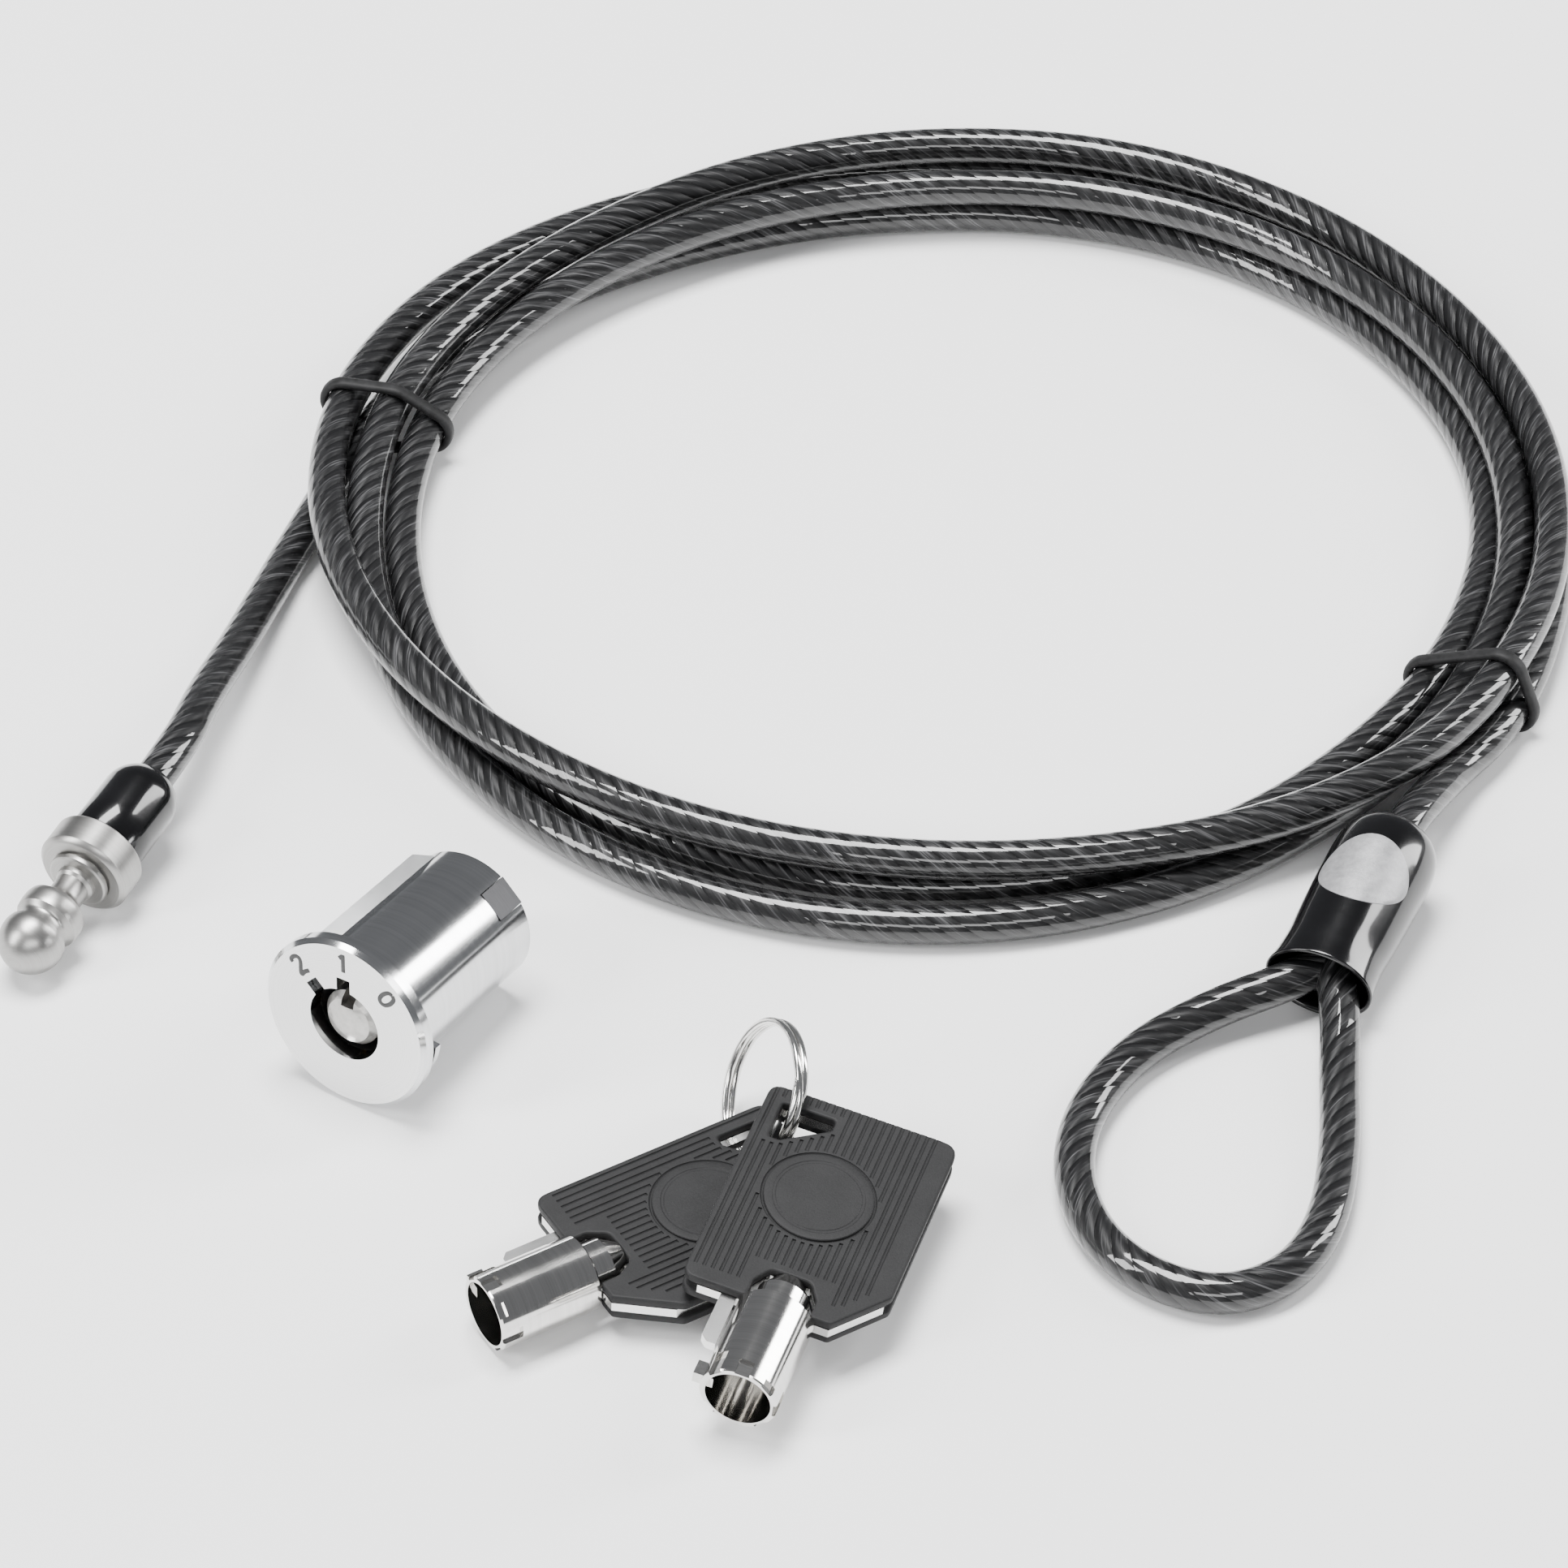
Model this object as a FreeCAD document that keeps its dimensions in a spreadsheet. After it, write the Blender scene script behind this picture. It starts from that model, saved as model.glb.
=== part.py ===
import FreeCAD, Part
import math
import os

from FreeCAD import Placement, Rotation, Vector

# A laptop cable lock as it lies on a table: the coiled cable with its locking pin
# and its loop, the lock barrel, and two tubular keys on a split ring.
# Every size in millimetres, +Z up, the table at Z = 0.

SIZES = [
    # cable
    ("cable_diameter", 4.5), ("coil_center_x", 25.66), ("coil_center_y", 99.69),
    ("coil_inner_radius", 61.5), ("coil_outer_radius", 75.4), ("coil_height", 9.2),
    ("coil_edge", 2.2),
    # rubber bands round the coil
    ("band_thickness", 1.05), ("band_width", 1.6), ("band_clearance", 0.15),
    ("band_left_angle", 166.0), ("band_right_angle", 332.0),
    # locking pin
    ("bead_radius", 3.75), ("bead_pitch", 4.35), ("waist_radius", 3.1), ("neck_radius", 2.0),
    ("neck_length", 3.9), ("boss_radius", 3.6), ("boss_length", 0.9), ("collar_radius", 5.5),
    ("collar_length", 4.1), ("collar_chamfer", 0.6), ("ferrule_radius", 3.5),
    ("ferrule_length", 8.0), ("boot_radius", 4.45), ("boot_length", 12.0), ("boot_round", 3.2),
    ("pin_x", -70.64), ("pin_y", 34.79), ("pin_heading", 64.1), ("pin_tilt", 5.0),
    # loop sleeve
    ("sleeve_length", 24.2), ("sleeve_tail_wall", 1.1), ("sleeve_tail_lip", 1.35),
    ("sleeve_waist_wall", 0.85), ("sleeve_waist_cover", 1.7),
    ("sleeve_mouth_flare", 1.35), ("sleeve_mouth_cover", 1.4),
    ("sleeve_wall", 0.65), ("crimp_start", 4.5), ("crimp_length", 11.0),
    ("crimp_side_wall", 0.25), ("crimp_cover", 1.15), ("crimp_bore_gap", 0.15),
    ("badge_radius", 5.2), ("badge_thickness", 0.12), ("badge_place", 10.6),
    ("sleeve_x", 75.96), ("sleeve_y", 37.99), ("sleeve_heading", 245.4), ("sleeve_droop", 3.2),
    # lock barrel
    ("flange_radius", 10.5), ("flange_thickness", 1.7), ("flange_chamfer", 0.5),
    ("shell_radius", 7.95), ("shell_length", 24.1), ("shell_bore_radius", 6.6),
    ("front_wall", 2.0), ("keyway_radius", 4.45), ("notch_width", 1.7), ("notch_reach", 6.0),
    ("side_pad_width", 6.2), ("side_pad_height", 9.05), ("side_pad_end", 21.0),
    ("side_pad_slope", 2.4), ("dial_step", 45.0), ("dial_first", 9.0),
    ("bolt_notch_width", 3.7), ("bolt_notch_depth", 4.1),
    ("wing_radius", 9.95), ("wing_thickness", 0.9), ("wing_place", 3.0),
    ("wing_start", 150.0), ("wing_sweep", 58.0),
    ("post_radius", 3.4), ("post_slot_width", 1.6), ("post_slot_depth", 1.5),
    ("key_depth", 5.2), ("fit_clearance", 0.08), ("shear_gap", 0.1),
    ("rotor_rear", 8.95), ("pin_circle_radius", 3.95), ("lock_pin_radius", 0.65),
    ("lock_pin_bore_radius", 0.72), ("driver_length", 3.0), ("spring_length", 2.6),
    ("spring_radius", 0.6), ("spring_wire", 0.2), ("pin_travel", 1.2), ("stator_length", 8.0),
    ("shaft_radius", 2.0), ("cam_from_rear", 6.1), ("cam_radius", 4.6), ("cam_thickness", 1.9),
    ("stud_offset", 1.6), ("stud_radius", 0.8), ("stud_clearance", 0.12), ("cross_pin_radius", 0.8),
    ("bolt_head_thickness", 2.3), ("bolt_head_half_width", 3.7), ("bolt_head_back", 2.5),
    ("bolt_nose_start", 3.0), ("bolt_clearance", 0.1), ("bolt_travel", 1.13),
    ("lock_x", -40.24), ("lock_y", 3.59), ("lock_heading", 57.9), ("lock_droop", 6.2),
    ("lock_roll", -56.6),
    # keys
    ("bow_length", 28.7), ("bow_half_width", 10.6), ("cover_thickness", 1.07),
    ("blade_thickness", 1.13), ("bow_chamfer_along", 6.05), ("bow_chamfer_across", 4.75),
    ("bow_corner", 1.4), ("recess_half_width", 3.45), ("recess_depth", 4.4),
    ("recess_end_half_width", 2.2), ("prong_length", 6.6), ("prong_gap", 0.2),
    ("prong_width", 1.7), ("slot_near", 2.2), ("slot_far", 7.2), ("slot_inner", 2.6),
    ("slot_outer", 8.6), ("slot_flat", 1.3), ("slot_lip", 1.5), ("tube_radius", 4.2), ("tube_bore_radius", 3.55),
    ("tube_length", 11.9), ("tube_bore_depth", 9.5), ("tube_neck_radius", 2.9),
    ("tongue_half_width", 1.2), ("tongue_reach", 2.8), ("lug_place", 1.7), ("lug_length", 1.8),
    ("lug_width", 1.4), ("lug_reach", 5.2), ("lug_inner_reach", 3.0),
    ("cut_width", 1.6), ("cut_depth", 0.42),
    ("front_key_x", 15.68), ("front_key_y", -8.83), ("front_key_height", 7.8),
    ("front_key_heading", 250.93), ("front_key_dip", 1.94), ("front_key_lean", -7.89),
    ("rear_key_x", 10.59), ("rear_key_y", -12.18), ("rear_key_height", 3.8),
    ("rear_key_heading", 211.74), ("rear_key_dip", -1.07), ("rear_key_lean", -1.31),
    # split ring
    ("ring_outer_radius", 8.0), ("ring_section", 0.8), ("ring_depth", 1.6),
    ("ring_x", 5.03), ("ring_y", -3.65), ("ring_z", 7.58), ("ring_heading", 195.68),
    ("ring_lean", 27.2),
]

doc = FreeCAD.newDocument("CableLock")
sheet = doc.addObject("Spreadsheet::Sheet", "Sizes")
for row, (alias, number) in enumerate(SIZES, start=1):
    sheet.set(f"A{row}", alias)
    sheet.set(f"B{row}", str(number))
    sheet.setAlias(f"B{row}", alias)
doc.recompute()


class Dim:
    """A length that knows both its number and the sheet expression it comes from."""

    def __init__(self, number, text):
        self.number = number
        self.text = text

    def _join(self, other, sign, number):
        other_text = other.text if isinstance(other, Dim) else repr(float(other))
        return Dim(number, f"({self.text} {sign} {other_text})")

    def __add__(self, other):
        return self._join(other, "+", self.number + number_of(other))

    def __sub__(self, other):
        return self._join(other, "-", self.number - number_of(other))

    def __mul__(self, other):
        return self._join(other, "*", self.number * number_of(other))

    def __neg__(self):
        return Dim(-self.number, f"(0 - {self.text})")

    def __float__(self):
        return float(self.number)


def number_of(value):
    return value.number if isinstance(value, Dim) else float(value)


def size(alias):
    return Dim(float(sheet.get(alias)), f"Sizes.{alias}")


def whole(number):
    return Dim(float(number), repr(float(number)))


S = {alias: size(alias) for alias, _ in SIZES}
# Sizes that follow from others, so that what fits together stays fitted.
CABLE_RADIUS = S["cable_diameter"] * 0.5
S["crimp_bore_offset"] = CABLE_RADIUS + S["crimp_bore_gap"]
S["crimp_half_width"] = S["crimp_bore_offset"] + CABLE_RADIUS + S["crimp_side_wall"]
S["crimp_half_height"] = CABLE_RADIUS + S["crimp_cover"]
S["sleeve_tail_radius"] = S["crimp_half_width"] + S["sleeve_tail_wall"]
S["sleeve_tail_end_radius"] = CABLE_RADIUS + S["sleeve_tail_lip"]
S["sleeve_waist_half_width"] = S["crimp_half_width"] + S["sleeve_waist_wall"]
S["sleeve_waist_half_height"] = S["crimp_half_height"] + S["sleeve_waist_cover"]
S["sleeve_mouth_half_width"] = S["crimp_half_width"] + S["sleeve_mouth_flare"]
S["sleeve_mouth_half_height"] = S["crimp_half_height"] + S["sleeve_mouth_cover"]
S["cam_place"] = S["shell_length"] - S["cam_from_rear"]
S["prong_inner"] = S["tube_radius"] + S["prong_gap"]
S["prong_outer"] = S["prong_inner"] + S["prong_width"]
N = {alias: dim.number for alias, dim in S.items()}
PARTS = []


# ---------------------------------------------------------------- building helpers

def bind(obj, prop, dim):
    setattr(obj, prop, number_of(dim))
    if isinstance(dim, Dim):
        obj.setExpression(prop, dim.text)


def cylinder(name, radius, height, z=0.0, x=0.0, y=0.0, direction=None, angle=None):
    """Cylinder on +Z, or along direction, starting at (x, y, z)."""
    obj = doc.addObject("Part::Cylinder", name)
    bind(obj, "Radius", radius)
    bind(obj, "Height", height)
    if angle is not None:
        bind(obj, "Angle", angle)
    turn = Rotation(Vector(0, 0, 1), direction) if direction else Rotation()
    obj.Placement = Placement(Vector(number_of(x), number_of(y), number_of(z)), turn)
    if isinstance(z, Dim):
        obj.setExpression("Placement.Base.z", z.text)
    return obj


def cone(name, radius_a, radius_b, height, z):
    obj = doc.addObject("Part::Cone", name)
    bind(obj, "Radius1", radius_a)
    bind(obj, "Radius2", radius_b)
    bind(obj, "Height", height)
    obj.Placement = Placement(Vector(0, 0, number_of(z)), Rotation())
    if isinstance(z, Dim):
        obj.setExpression("Placement.Base.z", z.text)
    return obj


def ball(name, radius, z):
    obj = doc.addObject("Part::Sphere", name)
    bind(obj, "Radius", radius)
    obj.Placement = Placement(Vector(0, 0, number_of(z)), Rotation())
    if isinstance(z, Dim):
        obj.setExpression("Placement.Base.z", z.text)
    return obj


def box(name, low, high, turn=0.0):
    """Box between two corners given as sheet sizes, then turned about Z by turn degrees."""
    obj = doc.addObject("Part::Box", name)
    for prop, a, b in zip(("Length", "Width", "Height"), low, high):
        bind(obj, prop, b - a if isinstance(b, Dim) else Dim(b - number_of(a), repr(b - number_of(a))))
    corner = Vector(*(number_of(a) for a in low))
    spin = Rotation(Vector(0, 0, 1), turn)
    obj.Placement = Placement(spin.multVec(corner), spin)
    return obj


def fuse(name, members):
    obj = doc.addObject("Part::MultiFuse", name)
    obj.Shapes = members
    return obj


def cut(name, base, tool):
    obj = doc.addObject("Part::Cut", name)
    obj.Base = base
    obj.Tool = tool
    return obj


def common(name, first, second):
    obj = doc.addObject("Part::Common", name)
    obj.Base = first
    obj.Tool = second
    return obj


def outline(body, role, corners, name, offset=None):
    """Closed sketch of straight lines on an origin plane; every corner is bound to the sheet."""
    sketch = body.newObject("Sketcher::SketchObject", name)
    plane = next(f for f in body.Origin.OriginFeatures if f.Role == role)
    sketch.AttachmentSupport = [(plane, "")]
    sketch.MapMode = "FlatFace"
    points = [Vector(number_of(x), number_of(y), 0) for x, y in corners]
    for i, start in enumerate(points):
        sketch.addGeometry(Part.LineSegment(start, points[(i + 1) % len(points)]), False)
    import Sketcher
    for i in range(len(points)):
        sketch.addConstraint(Sketcher.Constraint("Coincident", i, 2, (i + 1) % len(points), 1))
    for i, (x, y) in enumerate(corners):
        for kind, value in (("DistanceX", x), ("DistanceY", y)):
            index = sketch.addConstraint(Sketcher.Constraint(kind, -1, 1, i, 1, number_of(value)))
            if isinstance(value, Dim):
                sketch.setExpression(f"Constraints[{index}]", value.text)
    if offset is not None:
        sketch.AttachmentOffset = Placement(Vector(0, 0, number_of(offset)), Rotation())
        if isinstance(offset, Dim):
            sketch.setExpression("AttachmentOffset.Base.z", offset.text)
    return sketch


def turned(name, profile):
    """Solid of revolution about Z from (radius, height) corners."""
    body = doc.addObject("PartDesign::Body", name)
    sketch = outline(body, "XZ_Plane", profile, f"{name}_profile")
    solid = body.newObject("PartDesign::Revolution", f"{name}_turn")
    solid.Profile = sketch
    solid.ReferenceAxis = (sketch, ["V_Axis"])
    solid.Angle = 360
    return body


def plate(name, corners, start, thickness, hole=None):
    """Flat plate on XY from its corners, with an optional hole through it."""
    body = doc.addObject("PartDesign::Body", name)
    sketch = outline(body, "XY_Plane", corners, f"{name}_outline", start)
    pad = body.newObject("PartDesign::Pad", f"{name}_pad")
    pad.Profile = sketch
    bind(pad, "Length", thickness)
    if hole:
        window = outline(body, "XY_Plane", hole, f"{name}_hole_outline", start)
        pocket = body.newObject("PartDesign::Pocket", f"{name}_hole")
        pocket.Profile = window
        pocket.Type = 1
        pocket.Midplane = True
        body.Tip = pocket
    return body


def feature(name, shape):
    obj = doc.addObject("Part::Feature", name)
    obj.Shape = shape
    return obj


def finish(obj, label, place=None):
    """Name a sub-part and put it where its assembly stands."""
    if obj.TypeId in ("Part::Cylinder", "Part::Box"):
        inner = obj
        obj = doc.addObject("Part::Compound", f"{inner.Name}_part")
        obj.Links = [inner]
    obj.Label = label
    obj.Placement = place if place else Placement()
    PARTS.append(obj)
    return obj


def dial(angle):
    """Unit direction at an angle clockwise from the side pad, seen from the lock's front."""
    a = math.radians(angle)
    return Vector(-math.sin(a), math.cos(a), 0)


# ---------------------------------------------------------------- cable

def rounded_path(points):
    """Straight runs joined by tangent arcs, each arc as large as its two runs allow."""
    edges = []
    radii = []
    last = points[0]
    for before, corner, after in zip(points, points[1:], points[2:]):
        back = (before - corner)
        ahead = (after - corner)
        short = min(back.Length, ahead.Length)
        back.normalize()
        ahead.normalize()
        turn = math.pi - back.getAngle(ahead)
        reach = 0.45 * short
        radii.append(reach / math.tan(turn / 2))
        start = corner + back * reach
        end = corner + ahead * reach
        middle_way = (back + ahead).normalize()
        centre = corner + middle_way * (radii[-1] / math.cos(turn / 2))
        middle = centre - middle_way * radii[-1]
        edges.append(Part.LineSegment(last, start).toShape())
        edges.append(Part.Arc(start, middle, end).toShape())
        last = end
    edges.append(Part.LineSegment(last, points[-1]).toShape())
    return Part.Wire(edges), radii


def cable_tube(name, points):
    """Plain round cable along a route of hand-chosen points."""
    path, radii = rounded_path(points)
    radius = N["cable_diameter"] / 2
    start_way = (points[1] - points[0]).normalize()
    ring = Part.Wire(Part.Circle(points[0], start_way, radius).toShape())
    tube = path.makePipeShell([ring], True, False)
    expected = math.pi * radius ** 2 * path.Length
    print(f"{name}: length {path.Length:.1f}, volume/expected {tube.Volume / expected:.4f},"
          f" radii {[round(r, 1) for r in radii]}")
    return tube


def at_coil(angle, radius, z):
    a = math.radians(angle)
    return Vector(N["coil_center_x"] + radius * math.cos(a), N["coil_center_y"] + radius * math.sin(a), z)


def band_place(angle):
    """Frame of a band: X outwards along the coil's radius, Y along the cable, Z up."""
    return Placement(Vector(N["coil_center_x"], N["coil_center_y"], 0), Rotation(Vector(0, 0, 1), angle))


def band_loop(name, width, outer_gap, inner_gap):
    """Rectangular loop round the coil's section; gaps are measured in from its faces."""
    half = width * 0.5
    outer = box(f"{name}_outer", (S["coil_inner_radius"] + outer_gap, -half, outer_gap),
                (S["coil_outer_radius"] - outer_gap, half, S["coil_height"] - outer_gap))
    inner = box(f"{name}_inner", (S["coil_inner_radius"] + inner_gap, -width, inner_gap),
                (S["coil_outer_radius"] - inner_gap, width, S["coil_height"] - inner_gap))
    return cut(name, outer, inner)


def make_coil_and_bands(tails):
    inner, outer = S["coil_inner_radius"], S["coil_outer_radius"]
    edge, top = S["coil_edge"], S["coil_height"]
    coil = turned("coil_ring", [
        (inner + edge, whole(0)), (outer - edge, whole(0)), (outer, edge), (outer, top - edge),
        (outer - edge, top), (inner + edge, top), (inner, top - edge), (inner, edge)])
    thickness, clearance = S["band_thickness"], S["band_clearance"]
    center = Placement(Vector(N["coil_center_x"], N["coil_center_y"], 0), Rotation())
    coil.Placement = center
    grooves = []
    for side in ("left", "right"):
        place = band_place(N[f"band_{side}_angle"])
        groove = band_loop(f"groove_{side}", S["band_width"] + clearance * 2, whole(-0.5),
                           thickness + clearance)
        groove.Placement = place
        grooves.append(groove)
        band = band_loop(f"band_{side}_loop", S["band_width"], whole(0), thickness)
        finish(band, f"band_{side}", place)
    # Beside the sleeve the turns are drawn in a little.
    sleeve, _, _ = sleeve_place()
    room = box("sleeve_room", (whole(-20.0), whole(-20.0), whole(-1.0)),
               (S["sleeve_tail_radius"] + 0.4, whole(20.0), S["sleeve_length"]))
    room.Placement = sleeve * room.Placement
    finish(cut("coil_body", coil, fuse("coil_cuts", grooves + [room] + list(tails))), "cable_coil")


# ---------------------------------------------------------------- locking pin

def pin_place(distance=0.0):
    """Frame with Z along the pin from its tip to the cable; distance moves it along Z."""
    heading = math.radians(N["pin_heading"])
    tilt = math.radians(N["pin_tilt"])
    way = Vector(math.cos(heading) * math.cos(tilt), math.sin(heading) * math.cos(tilt), math.sin(tilt))
    front, back = pin_stations()
    collar_middle = (front.number + back.number) / 2
    height = N["collar_radius"] * math.cos(tilt) + N["collar_length"] / 2 * math.sin(tilt)
    base = Vector(N["pin_x"], N["pin_y"], height + 0.03)
    turn = Rotation(Vector(0, 0, 1), way)
    return Placement(base + way * (distance - collar_middle), turn), way


def pin_stations():
    """Distances from the dome's tip to the collar's front and back faces."""
    front = S["bead_radius"] + S["bead_pitch"] + S["bead_radius"] - 1.0 + S["neck_length"]
    return front, front + S["collar_length"]


def make_pin():
    place, _ = pin_place()
    front, back = pin_stations()
    bead, pitch = S["bead_radius"], S["bead_pitch"]
    pieces = [
        ball("dome", bead, bead),
        ball("bead", bead, bead + pitch),
        cylinder("waist", S["waist_radius"], pitch, bead),
        cylinder("neck", S["neck_radius"], front - bead - pitch + 0.5, bead + pitch),
        cone("boss", S["neck_radius"] + 0.6, S["boss_radius"], S["boss_length"],
             front - S["boss_length"]),
        cone("collar_nose", S["collar_radius"] - S["collar_chamfer"], S["collar_radius"],
             S["collar_chamfer"], front),
        cylinder("collar", S["collar_radius"], S["collar_length"] - S["collar_chamfer"],
                 front + S["collar_chamfer"]),
    ]
    finish(fuse("pin_solid", pieces), "locking_pin", place)

    bore = CABLE_RADIUS
    shell = cylinder("crimp_outer", S["ferrule_radius"], S["ferrule_length"], back)
    hole = cylinder("crimp_hole", bore, S["ferrule_length"], back + 1.0)
    finish(cut("pin_crimp", shell, hole), "pin_ferrule", place)

    length, round_off = S["boot_length"], S["boot_round"]
    radius = S["boot_radius"]
    inside = S["ferrule_radius"]
    boot = turned("boot_solid", [
        (inside, back), (radius, back), (radius, back + length - round_off),
        (radius - 0.35, back + length - round_off * 0.55), (radius - 1.15, back + length - round_off * 0.2),
        (bore + 0.3, back + length), (bore, back + length), (bore, back + S["ferrule_length"]),
        (inside, back + S["ferrule_length"])])
    finish(boot, "pin_boot", place)


# ---------------------------------------------------------------- loop sleeve

def sleeve_place(distance=0.0):
    """Frame with Z along the sleeve from its tail to its mouth, and X level across it."""
    heading = math.radians(N["sleeve_heading"])
    droop = math.radians(N["sleeve_droop"])
    way = Vector(math.cos(heading) * math.cos(droop), math.sin(heading) * math.cos(droop),
                 -math.sin(droop))
    across = way.cross(Vector(0, 0, 1)).normalize()
    turn = Rotation(across, way.cross(across), way, "ZXY")
    height = N["sleeve_mouth_half_height"] + N["sleeve_length"] * math.sin(droop)
    base = Vector(N["sleeve_x"], N["sleeve_y"], max(height, N["sleeve_tail_radius"]) + 0.15)
    return Placement(base + way * distance, turn), way, across


def oval(name, half_width, half_height, z):
    obj = doc.addObject("Part::Ellipse", name)
    bind(obj, "MajorRadius", half_width)
    bind(obj, "MinorRadius", half_height)
    obj.Placement = Placement(Vector(0, 0, number_of(z)), Rotation())
    if isinstance(z, Dim):
        obj.setExpression("Placement.Base.z", z.text)
    return obj


def loft(name, sections):
    obj = doc.addObject("Part::Loft", name)
    obj.Sections = sections
    obj.Solid = True
    obj.Ruled = True
    return obj


def make_sleeve():
    place, _, _ = sleeve_place()
    length, tail = S["sleeve_length"], S["sleeve_tail_radius"]
    wall = S["sleeve_wall"]
    skin = sleeve_skin("sleeve_skin", 0)
    hollow = loft("sleeve_hollow", [
        oval("hollow_a", S["crimp_half_width"] + 0.02, S["crimp_half_height"], S["crimp_start"]),
        oval("hollow_b", S["crimp_half_width"] + 0.02, S["crimp_half_height"],
             S["crimp_start"] + S["crimp_length"]),
        oval("hollow_c", S["sleeve_mouth_half_width"] - wall, S["sleeve_mouth_half_height"] - wall,
             length + 0.5)])
    entry = cylinder("sleeve_entry", S["cable_diameter"] * 0.5, S["crimp_start"] + 1.5, whole(-0.5))
    sleeve = cut("sleeve_solid", skin, fuse("sleeve_inside", [hollow, entry]))
    finish(sleeve, "loop_sleeve", place)

    crimp = loft("crimp_solid", [
        oval("crimp_a", S["crimp_half_width"] - 0.08, S["crimp_half_height"] - 0.1,
             S["crimp_start"] + 0.05),
        oval("crimp_b", S["crimp_half_width"] - 0.08, S["crimp_half_height"] - 0.1,
             S["crimp_start"] + S["crimp_length"])])
    bores = [cylinder(f"crimp_bore_{i}", S["cable_diameter"] * 0.5, S["crimp_length"],
                      S["crimp_start"] + 1.0, x=side * N["crimp_bore_offset"])
             for i, side in enumerate((-1, 1))]
    finish(cut("loop_crimp", crimp, fuse("crimp_bores", bores)), "loop_ferrule", place)

    # The badge is a thin round print that follows the sleeve's crown.
    disc = cylinder("badge_disc", S["badge_radius"], tail + 2.0, x=0, y=0, z=S["badge_place"],
                    direction=Vector(0, -1, 0))
    badge_base = common("badge_cap", sleeve_skin("badge_skin", S["badge_thickness"]), disc)
    badge = cut("badge_solid", badge_base, sleeve_skin("badge_seat", 0))
    finish(badge, "sleeve_badge", place)


def sleeve_skin(name, swell):
    """The sleeve's outer skin from its tail to its mouth, swollen by a little when asked."""
    length, tail = S["sleeve_length"], S["sleeve_tail_radius"]
    end = S["sleeve_tail_end_radius"]
    sections = (
        (end, end - 0.02, whole(0)), (tail - 1.1, tail - 1.15, whole(0.9)),
        (tail - 0.3, tail - 0.35, whole(2.6)), (tail, tail - 0.05, whole(5.0)),
        (tail - 0.05, tail - 0.4, length * 0.52),
        (S["sleeve_waist_half_width"], S["sleeve_waist_half_height"], length * 0.8),
        (S["sleeve_mouth_half_width"], S["sleeve_mouth_half_height"], length))
    return loft(name, [oval(f"{name}_{i}", width + swell, height + swell, z)
                       for i, (width, height, z) in enumerate(sections)])


def make_cables():
    """The stretches that aren't coiled; their route points are chosen by hand."""
    _, back = pin_stations()
    start, _ = pin_place(back.number + 1.1)
    leave, _ = pin_place(back.number + N["boot_length"] + 6.0)
    pin_tail = [start.Base, leave.Base] + [Vector(*p) for p in PIN_TAIL_ROUTE]
    pin_tube = feature("pin_tail_tube", cable_tube("cable_pin_tail", pin_tail))
    finish(pin_tube, "cable_pin_tail")

    inside, way, across = sleeve_place(N["crimp_start"])
    entry, _, _ = sleeve_place(-3.0)
    sleeve_tail = [Vector(*p) for p in SLEEVE_TAIL_ROUTE] + [entry.Base, inside.Base]
    sleeve_tube = feature("sleeve_tail_tube", cable_tube("cable_sleeve_tail", sleeve_tail))
    finish(sleeve_tube, "cable_sleeve_tail")

    offset = across * N["crimp_bore_offset"]
    bottom, _, _ = sleeve_place(N["crimp_start"] + 1.1)
    mouth, _, _ = sleeve_place(N["crimp_start"] + N["crimp_length"] + 1.0)
    loop = [bottom.Base - offset, mouth.Base - offset] + [Vector(*p) for p in LOOP_ROUTE]
    loop += [mouth.Base + offset, bottom.Base + offset]
    finish(feature("loop_tube", cable_tube("cable_loop", loop)), "cable_loop")
    return pin_tube, sleeve_tube


# Route points on the table: from the boot to the coil, from the coil to the sleeve, and
# the anchor loop from its left leg round to its right one.
PIN_TAIL_ROUTE = ((-60.04, 62.69, 6.3), (-56.84, 74.69, 4.2), (-53.34, 88.69, 2.6), (-49.14, 102.19, 2.4))
SLEEVE_TAIL_ROUTE = ((93.16, 77.89, 3.8), (88.66, 65.39, 4.0), (83.86, 54.89, 5.2))
LOOP_ROUTE = (
    (62.96, 16.79, 4.6), (54.56, 14.09, 3.2), (45.36, 8.09, 2.35), (39.46, -1.31, 2.3), (37.76, -10.71, 2.3),
    (39.86, -19.91, 2.3), (45.16, -26.21, 2.3), (52.76, -29.21, 2.3), (60.36, -26.01, 2.3),
    (64.96, -18.11, 2.3), (66.96, -6.71, 2.3), (67.56, 4.89, 2.6), (68.26, 14.29, 4.5))


# ---------------------------------------------------------------- lock barrel

def lock_place():
    """Frame with Z from the lock's face to its rear and Y towards the side pad."""
    heading = math.radians(N["lock_heading"])
    droop = math.radians(N["lock_droop"])
    way = Vector(math.cos(heading) * math.cos(droop), math.sin(heading) * math.cos(droop),
                 -math.sin(droop))
    upward = (Vector(0, 0, 1) - way * way.z).normalize()
    turn = Rotation(upward.cross(way), upward, way, "ZYX")
    height = N["flange_radius"] * math.cos(droop) + N["flange_thickness"] * math.sin(droop)
    base = Vector(N["lock_x"], N["lock_y"], height + 0.02)
    return Placement(base, turn * Rotation(Vector(0, 0, 1), N["lock_roll"]))


def polar_pin(name, radius, height, z, angle, hollow=None):
    """A round pin at an angle on the pin circle, hollow when an inner radius is given."""
    spot = dial(angle) * N["pin_circle_radius"]
    solid = cylinder(name, radius, height, z, x=spot.x, y=spot.y)
    if hollow is None:
        return solid
    hole = cylinder(f"{name}_hollow", hollow, height, z, x=spot.x, y=spot.y)
    return cut(f"{name}_tube", solid, hole)


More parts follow.
